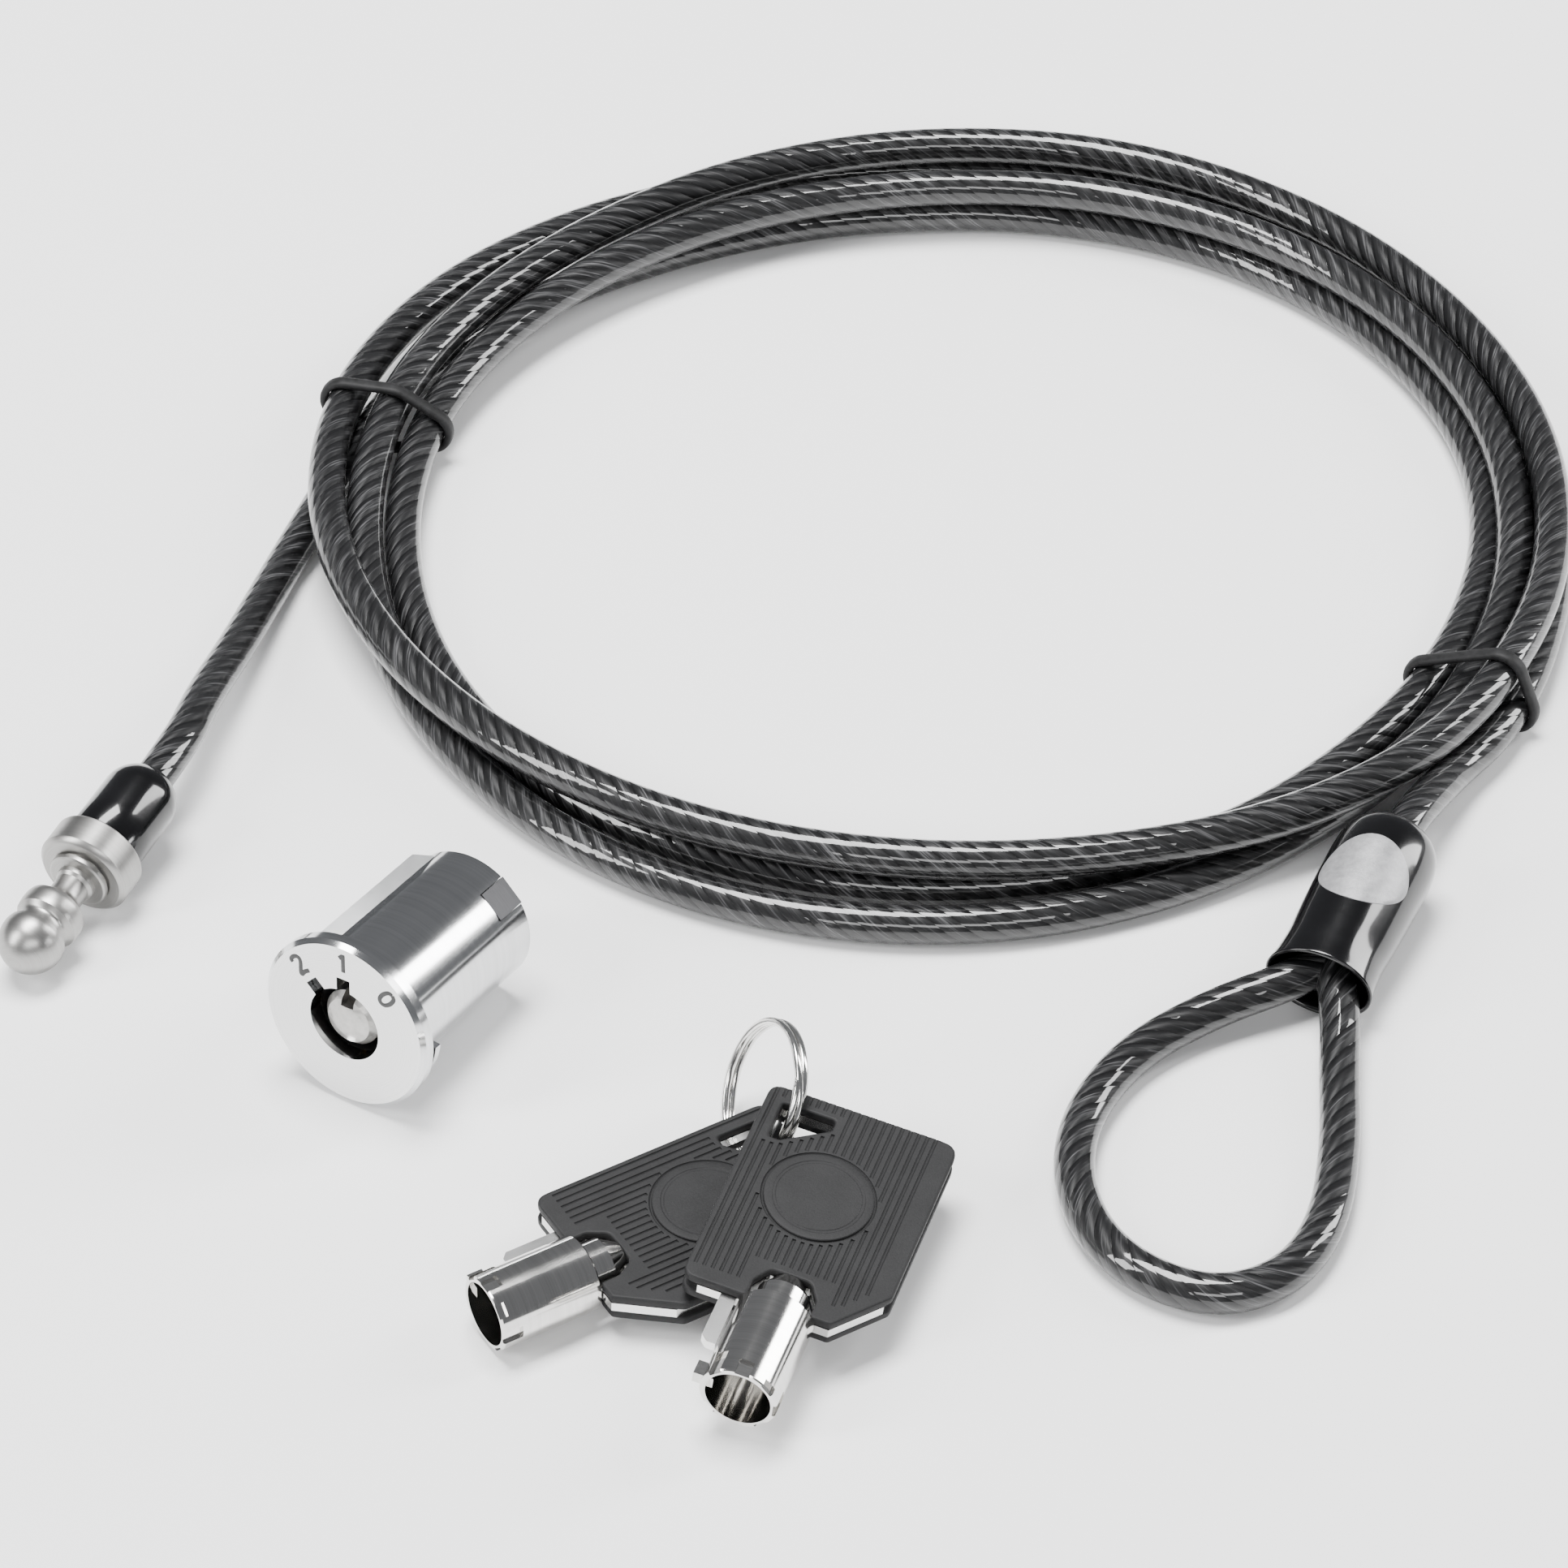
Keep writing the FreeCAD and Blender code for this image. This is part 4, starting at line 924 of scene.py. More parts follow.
@dataclass
class Cable:
    """The cable from the pin through its coil to the sleeve, its anchor loop, and the two
    rubber bands round the coil.

    A lay point of the coil is its turn angle in degrees from +X, its radius and its height.
    The cable turns clockwise seen from above, so the angle falls all the way.
    """

    diameter: float = 4.5
    centre: tuple[float, float] = (25.66, 99.69)
    stand_out: float = 1.0155
    pin_route: tuple[Point, ...] = (
        (-60.04, 62.69, 6.3), (-56.84, 74.69, 4.2), (-53.34, 88.69, 2.6), (-49.14, 102.19, 2.4))
    first_turn: tuple[Point, ...] = (
        (162, 70.2, 3.3), (148, 67.3, 2.7), (133, 64.6, 2.3), (115, 62.7, 2.3), (97, 62.3, 2.3),
        (77, 63.8, 2.3), (57, 65.5, 2.3), (37, 66.6, 2.3), (18, 66.9, 2.3), (0, 66.3, 2.4),
        (-20, 64.7, 3.2), (-38, 63.8, 3.2), (-58, 64.2, 2.4), (-78, 64.6, 2.3), (-98, 65.3, 2.3),
        (-118, 65.8, 2.3), (-138, 65.5, 2.3), (-157, 64.9, 2.5), (-176, 64.3, 3.4))
    second_turn: tuple[Point, ...] = (
        (-194, 63.8, 4.5), (-211, 62.8, 5.1), (-229, 61.6, 6.2), (-249, 60.9, 6.9), (-269, 61.8, 6.9),
        (-289, 64.1, 6.9), (-309, 66.4, 6.8), (-329, 68.4, 6.2), (-349, 69.3, 5.7), (-369, 69.0, 5.0),
        (-387, 68.5, 3.7), (-405, 68.6, 3.0), (-425, 69.6, 2.4), (-445, 71.2, 2.3), (-465, 71.9, 2.3),
        (-485, 71.4, 2.3), (-505, 70.2, 2.5), (-523, 69.1, 4.0), (-540, 68.4, 5.7))
    third_turn: tuple[Point, ...] = (
        (-555, 67.9, 7.3), (-572, 67.3, 7.1), (-590, 67.3, 6.9), (-610, 69.3, 6.8), (-630, 71.3, 6.9),
        (-650, 73.1, 6.9), (-670, 73.4, 6.9), (-690, 73.4, 6.9), (-710, 73.8, 6.9), (-730, 73.4, 7.1),
        (-748, 72.7, 7.7), (-763, 71.8, 7.6), (-779, 69.2, 7.2), (-797, 66.2, 6.9), (-816, 65.2, 6.9),
        (-836, 65.9, 6.9), (-856, 67.6, 7.0), (-874, 70.0, 7.2), (-891, 72.2, 7.3), (-906, 73.4, 7.2))
    last_turn: tuple[Point, ...] = (
        (-920, 73.8, 6.6), (-936, 74.0, 5.0), (-953, 73.6, 3.2), (-970, 72.2, 2.4), (-990, 72.4, 2.3),
        (-1010, 73.2, 2.3), (-1030, 73.4, 2.3), (-1050, 73.3, 2.3), (-1070, 73.5, 2.3), (-1087, 73.5, 2.7),
        (-1102, 73.8, 3.3), (-1112, 74.1, 3.2))
    sleeve_route: tuple[Point, ...] = ((84.7, 54.1, 3.2), (81.2, 47.9, 4.9))
    loop_route: tuple[Point, ...] = (
        (62.96, 16.79, 4.6), (54.56, 14.09, 3.2), (45.36, 8.09, 2.35), (39.46, -1.31, 2.3), (37.76, -10.71, 2.3),
        (39.86, -19.91, 2.3), (45.16, -26.21, 2.3), (52.76, -29.21, 2.3), (60.36, -26.01, 2.3),
        (64.96, -18.11, 2.3), (66.96, -6.71, 2.3), (67.56, 4.89, 2.6), (68.26, 14.29, 4.5))
    steps_a_point: int = 14
    run_length: float = 1.66
    loop_length: float = 0.156
    band_angles: tuple[float, float] = (166.0, 332.0)
    band_width: float = 1.7
    band_thickness: float = 1.0
    run_line: list[Vector] = field(default_factory=list)

    def lay(self, turn: Sequence[Point]) -> list[Vector]:
        """Turns lay points into route points in metres."""
        route = []
        for angle, radius, height in turn:
            a, r = math.radians(angle), radius * self.stand_out
            x, y = self.centre[0] + r * math.cos(a), self.centre[1] + r * math.sin(a)
            route.append(Vector((x, y, height)) * MM)
        return route

    def line_of(self, name: str, route: Sequence[Vector]) -> bpy.types.Object:
        """Makes the smooth line through a route as an object of edges.

        Args:
            name: The object's name.
            route: The control points in metres.

        Returns:
            The object, whose points run from end to end.
        """
        curve = bpy.data.curves.new(name, "CURVE")
        curve.dimensions = "3D"
        curve.resolution_u = self.steps_a_point
        spline = curve.splines.new("NURBS")
        spline.points.add(len(route) - 1)
        for control, point in zip(spline.points, route):
            control.co = (*point, 1.0)
        spline.order_u = 3
        spline.use_endpoint_u = True
        holder = bpy.data.objects.new(name, curve)
        bpy.context.scene.collection.objects.link(holder)
        return settle(holder, name)

    def jacket(self, name: str, route: Sequence[Vector], palette: Palette,
               tree: GeometryTree) -> tuple[bpy.types.Object, list[Vector]]:
        """Sweeps the jacket along a route and gives it with the line it follows."""
        line = self.line_of(f"{name}_line", route)
        points = [v.co.copy() for v in line.data.vertices]
        piece = tree.apply(line, name, Radius=self.diameter * 0.5 * MM, Finish=palette.jacket)
        tidy(piece.data)
        return smooth(piece, 60.0), points

    def build(self, frame: Frame, palette: Palette, pin: PinHardware, sleeve: LoopSleeve) -> None:
        tree = tube_tree()
        route = pin.cable_start() + [Vector(p) * MM for p in self.pin_route]
        for turn in (self.first_turn, self.second_turn, self.third_turn, self.last_turn):
            route += self.lay(turn)
        route += [Vector(p) * MM for p in self.sleeve_route] + sleeve.cable_end()
        run, self.run_line = self.jacket("cable_run", route, palette, tree)
        frame.fit(run, Body.CABLE, Slot.JACKET, palette.jacket,
                  "cable_pin_tail", "cable_coil", "cable_sleeve_tail")
        self.build_bands(frame, palette)
        exit_point = pin.seat().point(0, 0, pin.boot_end)

        left, right = sleeve.leg(-1.0), sleeve.leg(1.0)
        route = left + [Vector(p) * MM for p in self.loop_route] + right[::-1]
        loop, line = self.jacket("anchor_loop", route, palette, tree)
        frame.fit(loop, Body.CABLE, Slot.JACKET, palette.jacket, "cable_loop")

    def bundle_at(self, angle: float) -> list[tuple[float, float]]:
        """Finds where the run crosses a vertical half-plane from the coil's centre.

        Args:
            angle: The half-plane's angle in degrees.

        Returns:
            Radius and height of each crossing, in millimetres.
        """
        a = math.radians(angle)
        out, side = Vector((math.cos(a), math.sin(a), 0)), Vector((-math.sin(a), math.cos(a), 0))
        middle = Vector((*self.centre, 0)) * MM
        found = []
        for p, q in zip(self.run_line, self.run_line[1:]):
            sp, sq = (p - middle).dot(side), (q - middle).dot(side)
            if sp * sq < 0 and (p - middle).dot(out) > 0:
                m = p.lerp(q, sp / (sp - sq))
                found.append(((m - middle).dot(out) / MM, m.z / MM))
        return found

    def build_bands(self, frame: Frame, palette: Palette) -> None:
        """Stretches a rubber band round the strands at each band angle."""
        for side, angle in zip(("left", "right"), self.band_angles):
            band = self.band(f"cable_band_{side}", angle)
            frame.fit(band, Body.CABLE, Slot.BAND, palette.rubber, f"band_{side}")

    def band(self, name: str, angle: float) -> bpy.types.Object:
        """Makes one band as a rounded strip along the hull of the strands.

        Args:
            name: The object's name.
            angle: Where the band lies, in degrees.

        Returns:
            The band.
        """
        reach = self.diameter * 0.5 + self.band_thickness * 0.5 + 0.04
        cloud = [(r + reach * math.cos(TURN * k / 40), z + reach * math.sin(TURN * k / 40))
                 for r, z in self.bundle_at(angle) for k in range(40)]
        loop = even_loop(hull(cloud), 96)
        floor = self.band_thickness * 0.5 + 0.05
        loop = [(r, max(z, floor)) for r, z in loop]
        a = math.radians(angle)
        out, side = Vector((math.cos(a), math.sin(a), 0)), Vector((-math.sin(a), math.cos(a), 0))
        middle, up = Vector((*self.centre, 0)), Vector((0, 0, 1))
        points, faces, count, around = [], [], len(loop), 14
        for i, (r, z) in enumerate(loop):
            before, after = loop[i - 1], loop[(i + 1) % count]
            normal = Vector((after[1] - before[1], before[0] - after[0])).normalized()
            for k in range(around):
                c, s = math.cos(TURN * k / around), math.sin(TURN * k / around)
                wide = math.copysign(abs(c) ** 0.6, c) * self.band_width * 0.5
                deep = math.copysign(abs(s) ** 0.75, s) * self.band_thickness * 0.5
                spot = middle + out * (r + normal.x * deep) + up * (z + normal.y * deep) + side * wide
                points.append(spot * MM)
        for i in range(count):
            for k in range(around):
                j, m = (i + 1) % count, (k + 1) % around
                faces.append((i * around + k, i * around + m, j * around + m, j * around + k))
        return smooth(mesh_object(name, points, faces), 60.0)


def hull(points: Sequence[tuple[float, float]]) -> list[tuple[float, float]]:
    """Returns the convex outline of flat points, counter-clockwise."""
    ordered = sorted(set(points))

    def half(run: Iterable[tuple[float, float]]) -> list[tuple[float, float]]:
        """Returns one half of the outline."""
        kept: list[tuple[float, float]] = []
        for p in run:
            while len(kept) > 1 and ((kept[-1][0] - kept[-2][0]) * (p[1] - kept[-2][1])
                                     - (kept[-1][1] - kept[-2][1]) * (p[0] - kept[-2][0])) <= 0:
                kept.pop()
            kept.append(p)
        return kept[:-1]

    return half(ordered) + half(reversed(ordered))


def even_loop(corners: Sequence[tuple[float, float]], count: int) -> list[tuple[float, float]]:
    """Spaces points evenly round a closed flat outline."""
    closed = [Vector(c) for c in corners] + [Vector(corners[0])]
    lengths = [(b - a).length for a, b in zip(closed, closed[1:])]
    total, result = sum(lengths), []
    for k in range(count):
        left = total * k / count
        for i, length in enumerate(lengths):
            if left <= length:
                result.append(tuple(closed[i].lerp(closed[i + 1], left / length)))
                break
            left -= length
    return result


# ------------------------------------------------------------------ lock barrel

@dataclass
class BarrelLock:
    """The barrel lock with its dial face, domed post, wing and bolt."""

    place: Point = (-40.24, 3.59, 10.64)
    heading: float = 57.9
    droop: float = 6.2
    roll: float = -56.6
    numeral_radius: float = 8.05
    numeral_height: float = 2.15
    line_radius: float = 0.27
    line_rise: float = 0.05
    numeral_angles: tuple[float, float, float] = (9.0, 54.0, 99.0)
    face_depth: float = 0.12
    post_depth: float = 5.1
    post_reach: float = 3.45
    two: tuple[tuple[float, float], ...] = (
        (-0.30, 0.30), (-0.28, 0.45), (-0.08, 0.52), (0.16, 0.46), (0.25, 0.27), (0.14, 0.06),
        (-0.10, -0.18), (-0.27, -0.36), (-0.30, -0.48), (-0.02, -0.44), (0.30, -0.50))
    one: tuple[tuple[float, float], ...] = (
        (-0.20, 0.30), (-0.02, 0.46), (0.03, 0.50), (0.03, 0.0), (0.03, -0.50))
    nought: tuple[tuple[float, float], ...] = (
        (0.0, 0.50), (0.20, 0.40), (0.29, 0.14), (0.29, -0.14), (0.20, -0.40), (0.0, -0.50),
        (-0.20, -0.40), (-0.29, -0.14), (-0.29, 0.14), (-0.20, 0.40), (0.0, 0.50))

    def seat(self) -> Seat:
        """Returns the seat on the face, with Z into the barrel."""
        way, roll = pointing(self.heading, self.droop), math.radians(self.roll)
        up = (Vector((0, 0, 1)) - way * way.z).normalized()
        level = up.cross(way)
        side = level * math.cos(roll) + up * math.sin(roll)
        return Seat.along(Vector(self.place), way, side)

    def dial(self, angle: float) -> tuple[float, float]:
        """Returns the unit step across the face towards a dial angle in degrees."""
        a = math.radians(angle)
        return -math.sin(a), math.cos(a)

    def build(self, frame: Frame, palette: Palette) -> None:
        """Refines the visible nodes and dresses the rest."""
        seat = self.seat()
        chrome = MetalFinish("polished_chrome", (0.66, 0.665, 0.67), 0.10, 0.05, 0.35, 0.9).build(seat)
        spun = MetalFinish("spun_face", (0.78, 0.78, 0.775), 0.28, 0.08, 4.0, 0.14).build(seat)
        plated = MetalFinish("plated_works", (0.60, 0.60, 0.61), 0.12, 0.14, 2.0, 0.2).build(seat)
        # Near-black steel that paints the shade of the rear notch onto the bolt.
        notch_shade_steel = MetalFinish("oiled_steel", (0.05, 0.05, 0.052), 0.34, 0.14, 2.0, 0.2).build(seat)
        shell = frame.refined("lock_shell", "barrel_shell", 25.0)
        frame.fit(shell, Body.LOCK, Slot.CHROME, chrome, "lock_shell")
        self.split_face(shell, seat, spun)
        wing = frame.refined("locating_wing", "wing_plate")
        frame.fit(wing, Body.LOCK, Slot.CHROME, plated, "locating_wing")
        rotor = frame.refined("rotor", "core_rotor", 25.0)
        # The rotor's body wears painted shadow black; only its post keeps a metal finish.
        frame.fit(rotor, Body.ROTOR, Slot.NICKEL, palette.shadow, "rotor")
        self.split_post(rotor, seat, palette.cast)
        frame.fit(frame.refined("locking_bolt", "spring_bolt"), Body.BOLT, Slot.STEEL, notch_shade_steel, "locking_bolt")
        frame.fit(frame.refined("rear_cap", "barrel_cap"), Body.LOCK, Slot.CHROME, plated, "rear_cap")
        for node in ("stator", "cross_pin", "bolt_cam"):
            frame.dress(node, palette.inner_steel)
        for k in range(1, 8):
            frame.dress(f"key_pin_{k}", palette.inner_brass)
            frame.dress(f"driver_pin_{k}", palette.inner_steel)
            frame.dress(f"pin_spring_{k}", palette.inner_steel)
        numerals = self.numerals(seat)
        # The numerals' dark colour is painted shade of their engraved lines.
        frame.fit(numerals, Body.LOCK, Slot.CHROME, palette.engraving_shade_paint)

    def split_face(self, shell: bpy.types.Object, seat: Seat, spun: bpy.types.Material) -> None:
        """Gives the shell's flat front its own spun finish."""
        shell.data.materials.append(spun)
        inverse = seat.matrix().inverted()
        for face in shell.data.polygons:
            if (inverse @ face.center).z < self.face_depth * MM:
                face.material_index = 1

    def split_post(self, rotor: bpy.types.Object, seat: Seat, cast: bpy.types.Material) -> None:
        """Gives the rotor's post its own peened finish."""
        rotor.data.materials.append(cast)
        inverse = seat.matrix().inverted()
        for face in rotor.data.polygons:
            spot = inverse @ face.center
            if spot.z < self.post_depth * MM and spot.xy.length < self.post_reach * MM:
                face.material_index = 1

    def numerals(self, seat: Seat) -> bpy.types.Object:
        """Makes the three dial numerals as shallow inlaid lines."""
        points, faces = [], []
        for angle, strokes in zip(self.numeral_angles, (self.two, self.one, self.nought)):
            out = Vector(self.dial(angle))
            right = Vector((-out.y, out.x))
            line = [p[:2] for p in flowing([(*s, 0.0) for s in strokes], 4)]
            path = [out * (self.numeral_radius + v * self.numeral_height) + right * (u * self.numeral_height)
                    for u, v in line]
            self.inlay(seat, path, points, faces)
        return smooth(mesh_object("dial_numerals", points, faces), 40.0)

    def inlay(self, seat: Seat, path: Sequence[Vector], points: list[Vector],
              faces: list[tuple[int, ...]]) -> None:
        """Adds one low round-backed line on the face.

        Args:
            seat: The barrel's seat.
            path: The line's middle, across the face in millimetres.
            points: The mesh points, which this adds to.
            faces: The mesh faces, which this adds to.
        """
        first, around = len(points), 8
        for i, spot in enumerate(path):
            ahead = path[min(i + 1, len(path) - 1)] - path[max(i - 1, 0)]
            side = Vector((-ahead.y, ahead.x)).normalized()
            for k in range(around):
                c, s = math.cos(TURN * k / around), math.sin(TURN * k / around)
                flat = spot + side * (c * self.line_radius)
                points.append(seat.point(flat.x, flat.y, s * self.line_rise))
        for i in range(len(path) - 1):
            for k in range(around):
                a, b = first + i * around + k, first + i * around + (k + 1) % around
                faces.append((a, b, b + around, a + around))
        faces.append(tuple(first + k for k in range(around)))
        last = first + (len(path) - 1) * around
        faces.append(tuple(last + k for k in reversed(range(around))))


# ------------------------------------------------------------------ keys and ring

@dataclass
class TubularKey:
    """One tubular key: ribbed covers with a plain disc, steel blade, drive tube and lug.

    Local X runs from the ring end to the tube, and the prong is on the -Y side.
    """

    side: str
    body: Body
    place: Point
    heading: float
    dip: float
    lean: float
    length: float = 28.7
    half_width: float = 10.6
    blade: float = 1.13
    cover: float = 1.07
    chamfer_along: float = 6.05
    chamfer_across: float = 4.75
    corner: float = 1.4
    recess_half_width: float = 3.45
    recess_depth: float = 4.4
    recess_end: float = 2.2
    slot_corners: tuple[tuple[float, float], ...] = (
        (2.2, -8.6), (7.2, -8.6), (7.2, -7.3), (3.7, -2.6), (2.2, -2.6))
    disc_centre: tuple[float, float] = (13.1, -0.84)
    disc_radius: float = 5.9
    rib_pitch: float = 0.937
    rib_first: float = -9.75
    rib_count: int = 20
    groove_radius: float = 0.22
    slot_round: float = 0.45
    edge_round: float = 0.28

    def seat(self) -> Seat:
        """Returns the key's own frame."""
        heading, dip, lean = (
            Matrix.Rotation(math.radians(angle), 3, axis)
            for angle, axis in ((self.heading, "Z"), (self.dip, "Y"), (self.lean, "X")))
        return Seat(Vector(self.place), heading @ dip @ lean)

    def outline(self) -> list[tuple[float, float]]:
        """Returns the cover's outline with its corners rounded."""
        front, half = self.length, self.half_width
        deep = front - self.recess_depth
        corners = [
            (0.0, -half, 1.5), (front, -half, 1.6), (front, -self.recess_half_width, 0.5),
            (deep + 2.1, -self.recess_half_width, 1.3), (deep, -self.recess_end, 1.1),
            (deep, self.recess_end, 1.1), (deep + 2.1, self.recess_half_width, 1.3),
            (front, self.recess_half_width, 0.5), (front, half - self.chamfer_across, 0.7),
            (front - self.chamfer_along, half, 1.1), (0.0, half, 1.9)]
        return rounded(corners)

    def front_limit(self, y: float) -> float:
        """Returns how far forward a rib may reach at a place across the bow."""
        limit = self.length - 1.9
        if abs(y) < self.recess_half_width + 1.0:
            limit = self.length - self.recess_depth - 0.9
        edge = self.half_width - self.chamfer_across
        if y > edge - 1.2:
            slope = self.chamfer_along / self.chamfer_across
            limit = min(limit, self.length - 2.4 - max(0.0, y - edge) * slope)
        return limit

    def rib_lines(self) -> list[tuple[Vector, Vector]]:
        """Lays out the groove lines between the ribs, clear of the disc and the ring slot.

        Returns:
            Start and end of each line, in millimetres.
        """
        lines = []
        clear = self.disc_radius + 0.55
        for k in range(self.rib_count):
            y = self.rib_first + k * self.rib_pitch
            blocks = []
            off = abs(y - self.disc_centre[1])
            if off < clear:
                reach = math.sqrt(clear**2 - off**2)
                blocks.append((self.disc_centre[0] - reach, self.disc_centre[0] + reach))
            if -9.4 < y < -1.9:
                lip = 0.75
                far = 7.2 + lip if y < -7.0 else 3.7 + lip + (-2.6 - y) * (3.5 / 4.7)
                blocks.append((2.2 - lip, min(far, 7.2 + lip)))
            start = -0.4
            for low, high in sorted(blocks):
                if low - start > 0.5:
                    lines.append((Vector((start, y, 0)), Vector((low, y, 0))))
                start = max(start, high)
            end = self.front_limit(y)
            if end - start > 0.5:
                lines.append((Vector((start, y, 0)), Vector((end, y, 0))))
        return lines

    def build(self, frame: Frame, palette: Palette, tree: GeometryTree) -> None:
        """Makes the covers and their discs, and refines the metal."""
        seat = self.seat()
        nickel = MetalFinish(f"{self.side}_tube_nickel", (0.70, 0.69, 0.67), 0.07, 0.08, 0.6, 0.5)
        nickel = nickel.build(self.tube_seat())
        stamped = MetalFinish(f"{self.side}_blade_steel", (0.80, 0.80, 0.79), 0.16, 0.12, 2.0, 0.12, False)
        stamped = stamped.build(seat)
        for level, sign in (("top", 1.0), ("bottom", -1.0)):
            node = f"{self.side}_key_cover_{level}"
            cover = self.make_cover(f"{self.side}_{level}_cover", seat, sign, tree, palette.plastic)
            frame.fit(cover, self.body, Slot.PLASTIC, palette.plastic, node)
            disc = self.make_disc(f"{self.side}_{level}_disc", seat, sign)
            frame.fit(disc, self.body, Slot.PLASTIC, palette.plastic)
        for part, angle, metal in (("tube", 25.0, nickel), ("lug", 30.0, nickel), ("blade", 30.0, stamped)):
            node = f"{self.side}_key_{part}"
            slot = Slot.STEEL if part == "blade" else Slot.NICKEL
            frame.fit(frame.refined(node, f"{self.side}_{part}_metal", angle), self.body, slot, metal, node)

    def tube_seat(self) -> Seat:
        """Returns a seat with Z along the drive tube."""
        own = self.seat()
        x, y, _ = own.turn.transposed()
        return Seat.along(own.origin, x, y)

    def make_cover(self, name: str, seat: Seat, sign: float, tree: GeometryTree,
                   finish: bpy.types.Material) -> bpy.types.Object:
        """Makes one cover: a rounded plate with its ring slot and its grooves.

        Args:
            name: The object's name.
            seat: The key's frame.
            sign: 1 for the upper cover and -1 for the lower one.
            tree: The tree that cuts the grooves.
            finish: The plastic.

        Returns:
            The cover.
        """
        inner, outer = self.blade * 0.5, self.blade * 0.5 + self.cover
        plate = prism(f"{name}_plate", self.outline(), inner * sign, outer * sign)
        slot = prism(f"{name}_slot", rounded([(*c, self.slot_round) for c in self.slot_corners]), -3.0, 3.0)
        hole = plate.modifiers.new("ring_slot", "BOOLEAN")
        hole.operation, hole.solver, hole.object = "DIFFERENCE", "EXACT", slot
        edge = plate.modifiers.new("soft_edge", "BEVEL")
        edge.width, edge.segments, edge.limit_method = self.edge_round * MM, 3, "ANGLE"
        edge.angle_limit = math.radians(50.0)
        plate = settle(plate, f"{name}_plate")
        bpy.data.objects.remove(slot)

        level = (outer + 0.02) * sign
        points, edges = [], []
        for start, end in self.rib_lines():
            edges.append((len(points), len(points) + 1))
            points += [Vector((start.x, start.y, level)) * MM, Vector((end.x, end.y, level)) * MM]
        ring, first = 56, len(points)
        for k in range(ring):
            a = TURN * k / ring
            spot = (self.disc_centre[0] + (self.disc_radius + 0.1) * math.cos(a),
                    self.disc_centre[1] + (self.disc_radius + 0.1) * math.sin(a), level)
            points.append(Vector(spot) * MM)
            edges.append((first + k, first + (k + 1) % ring))
        lines = mesh_object(f"{name}_lines", points, (), edges)
        cover = tree.apply(plate, name, Lines=lines, Groove_Radius=self.groove_radius * MM, Finish=finish)
        bpy.data.objects.remove(lines)
        smooth(cover, 28.0)
        for face in cover.data.polygons:
            face.use_smooth = abs(face.normal.z) < 0.999
        cover.data.transform(seat.matrix())
        return cover

    def make_disc(self, name: str, seat: Seat, sign: float) -> bpy.types.Object:
        """Makes the raised plain disc in the middle of a cover."""
        top = self.blade * 0.5 + self.cover
        x, _, z = self.seat().turn.transposed()
        origin = seat.point(self.disc_centre[0], self.disc_centre[1], 0.0) / MM
        own = Seat.along(origin, z * sign, x)
        r = self.disc_radius
        profile = [(0.0, top - 0.3), (r - 0.02, top - 0.3), (r - 0.02, top + 0.05), (r - 0.1, top + 0.13),
                   (r - 0.28, top + 0.16), (r - 0.9, top + 0.16), (r - 1.0, top + 0.1), (r - 1.25, top + 0.1),
                   (r - 1.35, top + 0.16), (0.0, top + 0.16)]
        stations = [(height, radius) for radius, height in profile]
        return turned_piece(name, round_profile(stations), own, 72, 30.0)


@dataclass
class SplitRing:
    """A split ring of two flat coils side by side."""

    place: Point = (5.03, -3.65, 7.58)
    normal: Point = (-0.8563, -0.2404, 0.4571)
    outer_radius: float = 8.0
    section: float = 0.8
    start_angle: float = -58.0
    turns: float = 2.06
    steps: int = 220

    def build(self, frame: Frame, palette: Palette) -> None:
        """Winds the ring's wire and fits it."""
        seat = Seat.along(Vector(self.place), Vector(self.normal), Vector((0, 0, 1)))
        middle, half = self.outer_radius - self.section * 0.5, self.section * 0.5
        points, faces, around = [], [], 12
        for i in range(self.steps + 1):
            share = i / self.steps
            angle = math.radians(self.start_angle) + TURN * self.turns * share
            turn = self.turns * share
            bend = min(1.0, max(0.0, (turn - self.turns * 0.5 + 0.09) / 0.18))
            offset = (bend * bend * (3 - 2 * bend) - 0.5) * self.section * 1.02
            thin = 1.0 - 0.35 * max(0.0, 1.0 - min(share, 1.0 - share) * self.steps / 3.0)
            for k in range(around):
                c, s = math.cos(TURN * k / around), math.sin(TURN * k / around)
                deep = math.copysign(abs(c) ** 0.7, c) * half * thin
                wide = math.copysign(abs(s) ** 0.6, s) * half * 0.97 * thin
                r = middle + deep
                points.append(seat.point(r * math.cos(angle), r * math.sin(angle), offset + wide))
        for i in range(self.steps):
            for k in range(around):
                a, b = i * around + k, i * around + (k + 1) % around
                faces.append((a, b, b + around, a + around))
        faces.append(tuple(reversed(range(around))))
        faces.append(tuple(self.steps * around + k for k in range(around)))
        ring = smooth(mesh_object("ring_coils", points, faces), 45.0)
        frame.fit(ring, Body.RING, Slot.STEEL, palette.wire, "split_ring")


def rounded(corners: Sequence[Point], steps: int = 5) -> list[tuple[float, float]]:
    """Rounds the corners of a flat outline.

    Args:
        corners: X, Y and corner radius of each corner.
        steps: Pieces in each rounded corner.

    Returns:
        The finer outline.
    """
    result = []
    for i, (x, y, radius) in enumerate(corners):
        here = Vector((x, y))
        to_last = (Vector(corners[i - 1][:2]) - here)
        to_next = (Vector(corners[(i + 1) % len(corners)][:2]) - here)
        half = to_last.angle(to_next) * 0.5
        back = min(radius / math.tan(half), to_last.length * 0.48, to_next.length * 0.48)
        start, end = here + to_last.normalized() * back, here + to_next.normalized() * back
        for k in range(steps + 1):
            t = k / steps
            result.append(tuple(start * (1 - t) ** 2 + here * 2 * t * (1 - t) + end * t**2))
    return result


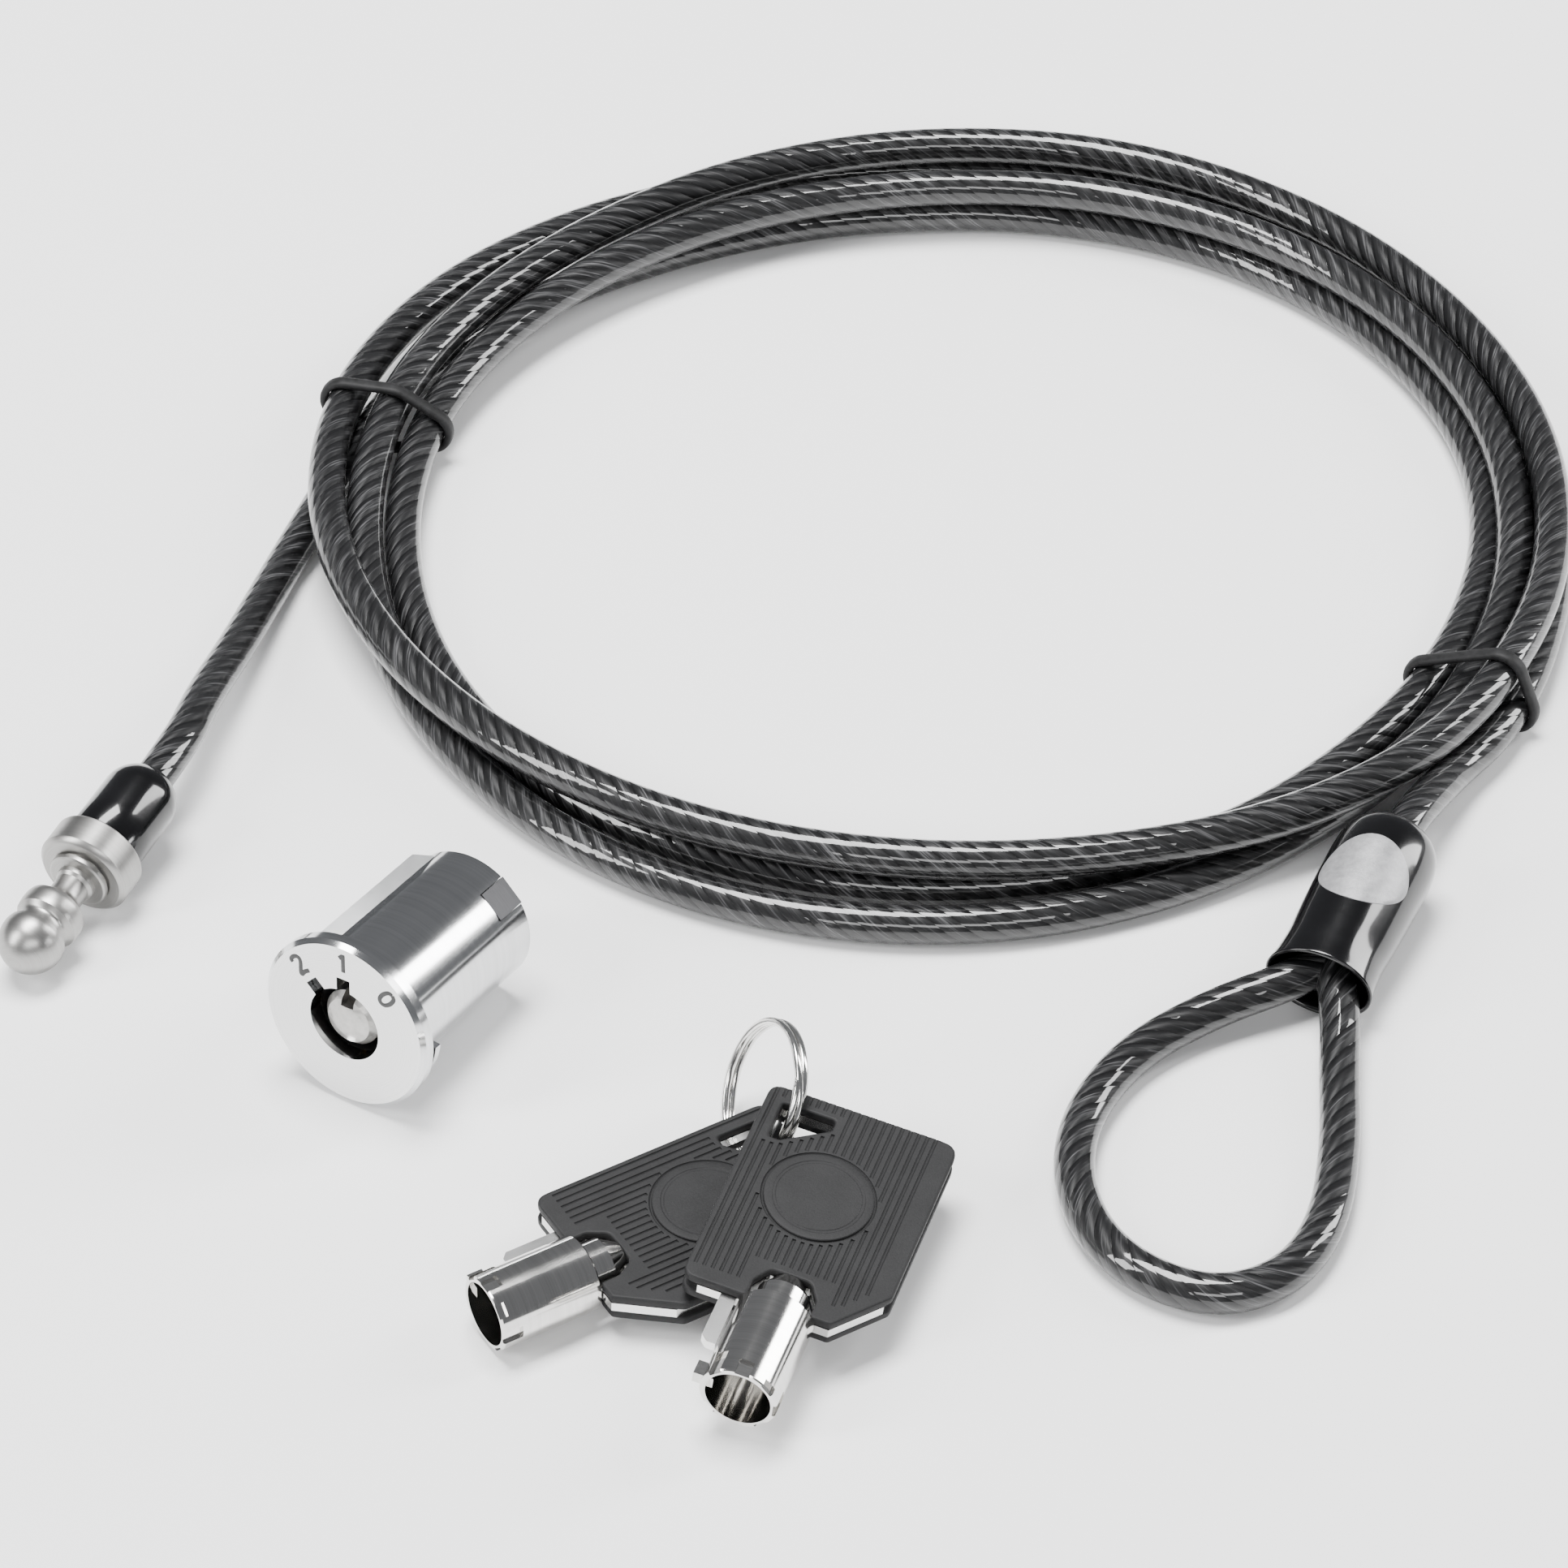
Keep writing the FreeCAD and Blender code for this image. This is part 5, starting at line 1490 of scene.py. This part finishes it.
def prism(name: str, outline: Sequence[tuple[float, float]], low: float, high: float) -> bpy.types.Object:
    """Makes a straight plate from a flat outline, in millimetres, between two heights."""
    count = len(outline)
    points = [Vector((x, y, z)) * MM for z in (low, high) for x, y in outline]
    faces = [tuple(range(count)), tuple(range(count, 2 * count))]
    faces += [(k, (k + 1) % count, count + (k + 1) % count, count + k) for k in range(count)]
    return mesh_object(name, points, faces)


# ------------------------------------------------------------------ stage

@dataclass
class Studio:
    """The camera, the pale floor and the soft lights."""

    camera_place: Point = (7.162, -468.2, 462.6)
    camera_aim: Point = (7.162, 54.689, 0.0)
    lens: float = 139.07
    sensor: float = 36.0
    floor_half: float = 3000.0
    floor_depth: float = 20.0

    def build_camera(self) -> None:
        """Makes the camera and points it."""
        data = bpy.data.cameras.new("studio_camera")
        data.lens, data.sensor_width = self.lens, self.sensor
        data.clip_start, data.clip_end = 0.01, 20.0
        camera = bpy.data.objects.new("studio_camera", data)
        bpy.context.scene.collection.objects.link(camera)
        camera.location = Vector(self.camera_place) * MM
        aim = Vector(self.camera_aim) * MM - camera.location
        camera.rotation_euler = aim.to_track_quat("-Z", "Y").to_euler()
        bpy.context.scene.camera = camera

    def lamp(self, name: str, place: Point, aim: Point, size: tuple[float, float], watts: float) -> None:
        """Hangs one rectangular soft light, in metres."""
        data = bpy.data.lights.new(name, "AREA")
        data.shape, data.size, data.size_y, data.energy = "RECTANGLE", size[0], size[1], watts
        lamp = bpy.data.objects.new(name, data)
        bpy.context.scene.collection.objects.link(lamp)
        lamp.location = place
        lamp.rotation_euler = (Vector(aim) - Vector(place)).to_track_quat("-Z", "Y").to_euler()

    def build(self) -> None:
        """Lays the floor, sets the sky and hangs the lights."""
        half = self.floor_half
        floor = prism("studio_floor", [(-half, -half), (half, -half), (half, half), (-half, half)],
                      -self.floor_depth, 0.0)
        s = Shader("pale_floor")
        tone = s.noise(s.place(), 3.0, 2.0)
        s.set(Base_Color=s.ramp(tone, [(0.0, (0.90, 0.90, 0.90)), (1.0, (0.93, 0.93, 0.93))]), Roughness=0.7,
              Specular_IOR_Level=0.2)
        floor.data.materials.append(s.material)
        world = bpy.data.worlds.new("studio_world")
        bpy.context.scene.world = world
        world.use_nodes = True
        sky = world.node_tree.nodes["Background"]
        sky.inputs["Color"].default_value = (0.93, 0.95, 1.0, 1.0)
        sky.inputs["Strength"].default_value = 0.2
        self.lamp("softbox_above", (-0.15, 0.25, 1.3), (0.0, 0.05, 0.0), (0.8, 0.5), 42.0)
        self.lamp("softbox_left", (-1.1, -0.35, 0.75), (0.0, 0.03, 0.0), (0.3, 0.8), 16.0)
        self.lamp("softbox_right", (1.1, 0.45, 0.6), (0.0, 0.05, 0.0), (0.25, 0.9), 14.0)
        self.lamp("softbox_front", (0.1, -1.1, 0.8), (0.0, 0.0, 0.0), (1.0, 0.3), 8.0)


def main() -> None:
    """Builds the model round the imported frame, in order, and logs each piece."""
    logging.basicConfig(level=logging.INFO, format="%(message)s")
    frame = Frame()
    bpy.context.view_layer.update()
    studio = Studio()
    studio.build_camera()
    palette = Palette()
    pin, sleeve, cable = PinHardware(), LoopSleeve(), Cable()
    cable.build(frame, palette, pin, sleeve)
    pin.build(frame, palette)
    sleeve.build(frame, palette)
    BarrelLock().build(frame, palette)
    ribs = groove_tree()
    keys = (
        TubularKey("front", Body.FRONT_KEY, (15.68, -8.83, 7.8), 250.93, 1.94, -7.89),
        TubularKey("rear", Body.REAR_KEY, (10.59, -12.18, 3.8), 211.74, -1.07, -1.31))
    for key in keys:
        key.build(frame, palette, ribs)
    SplitRing().build(frame, palette)
    studio.build()


if __name__ == "__main__":
    main()
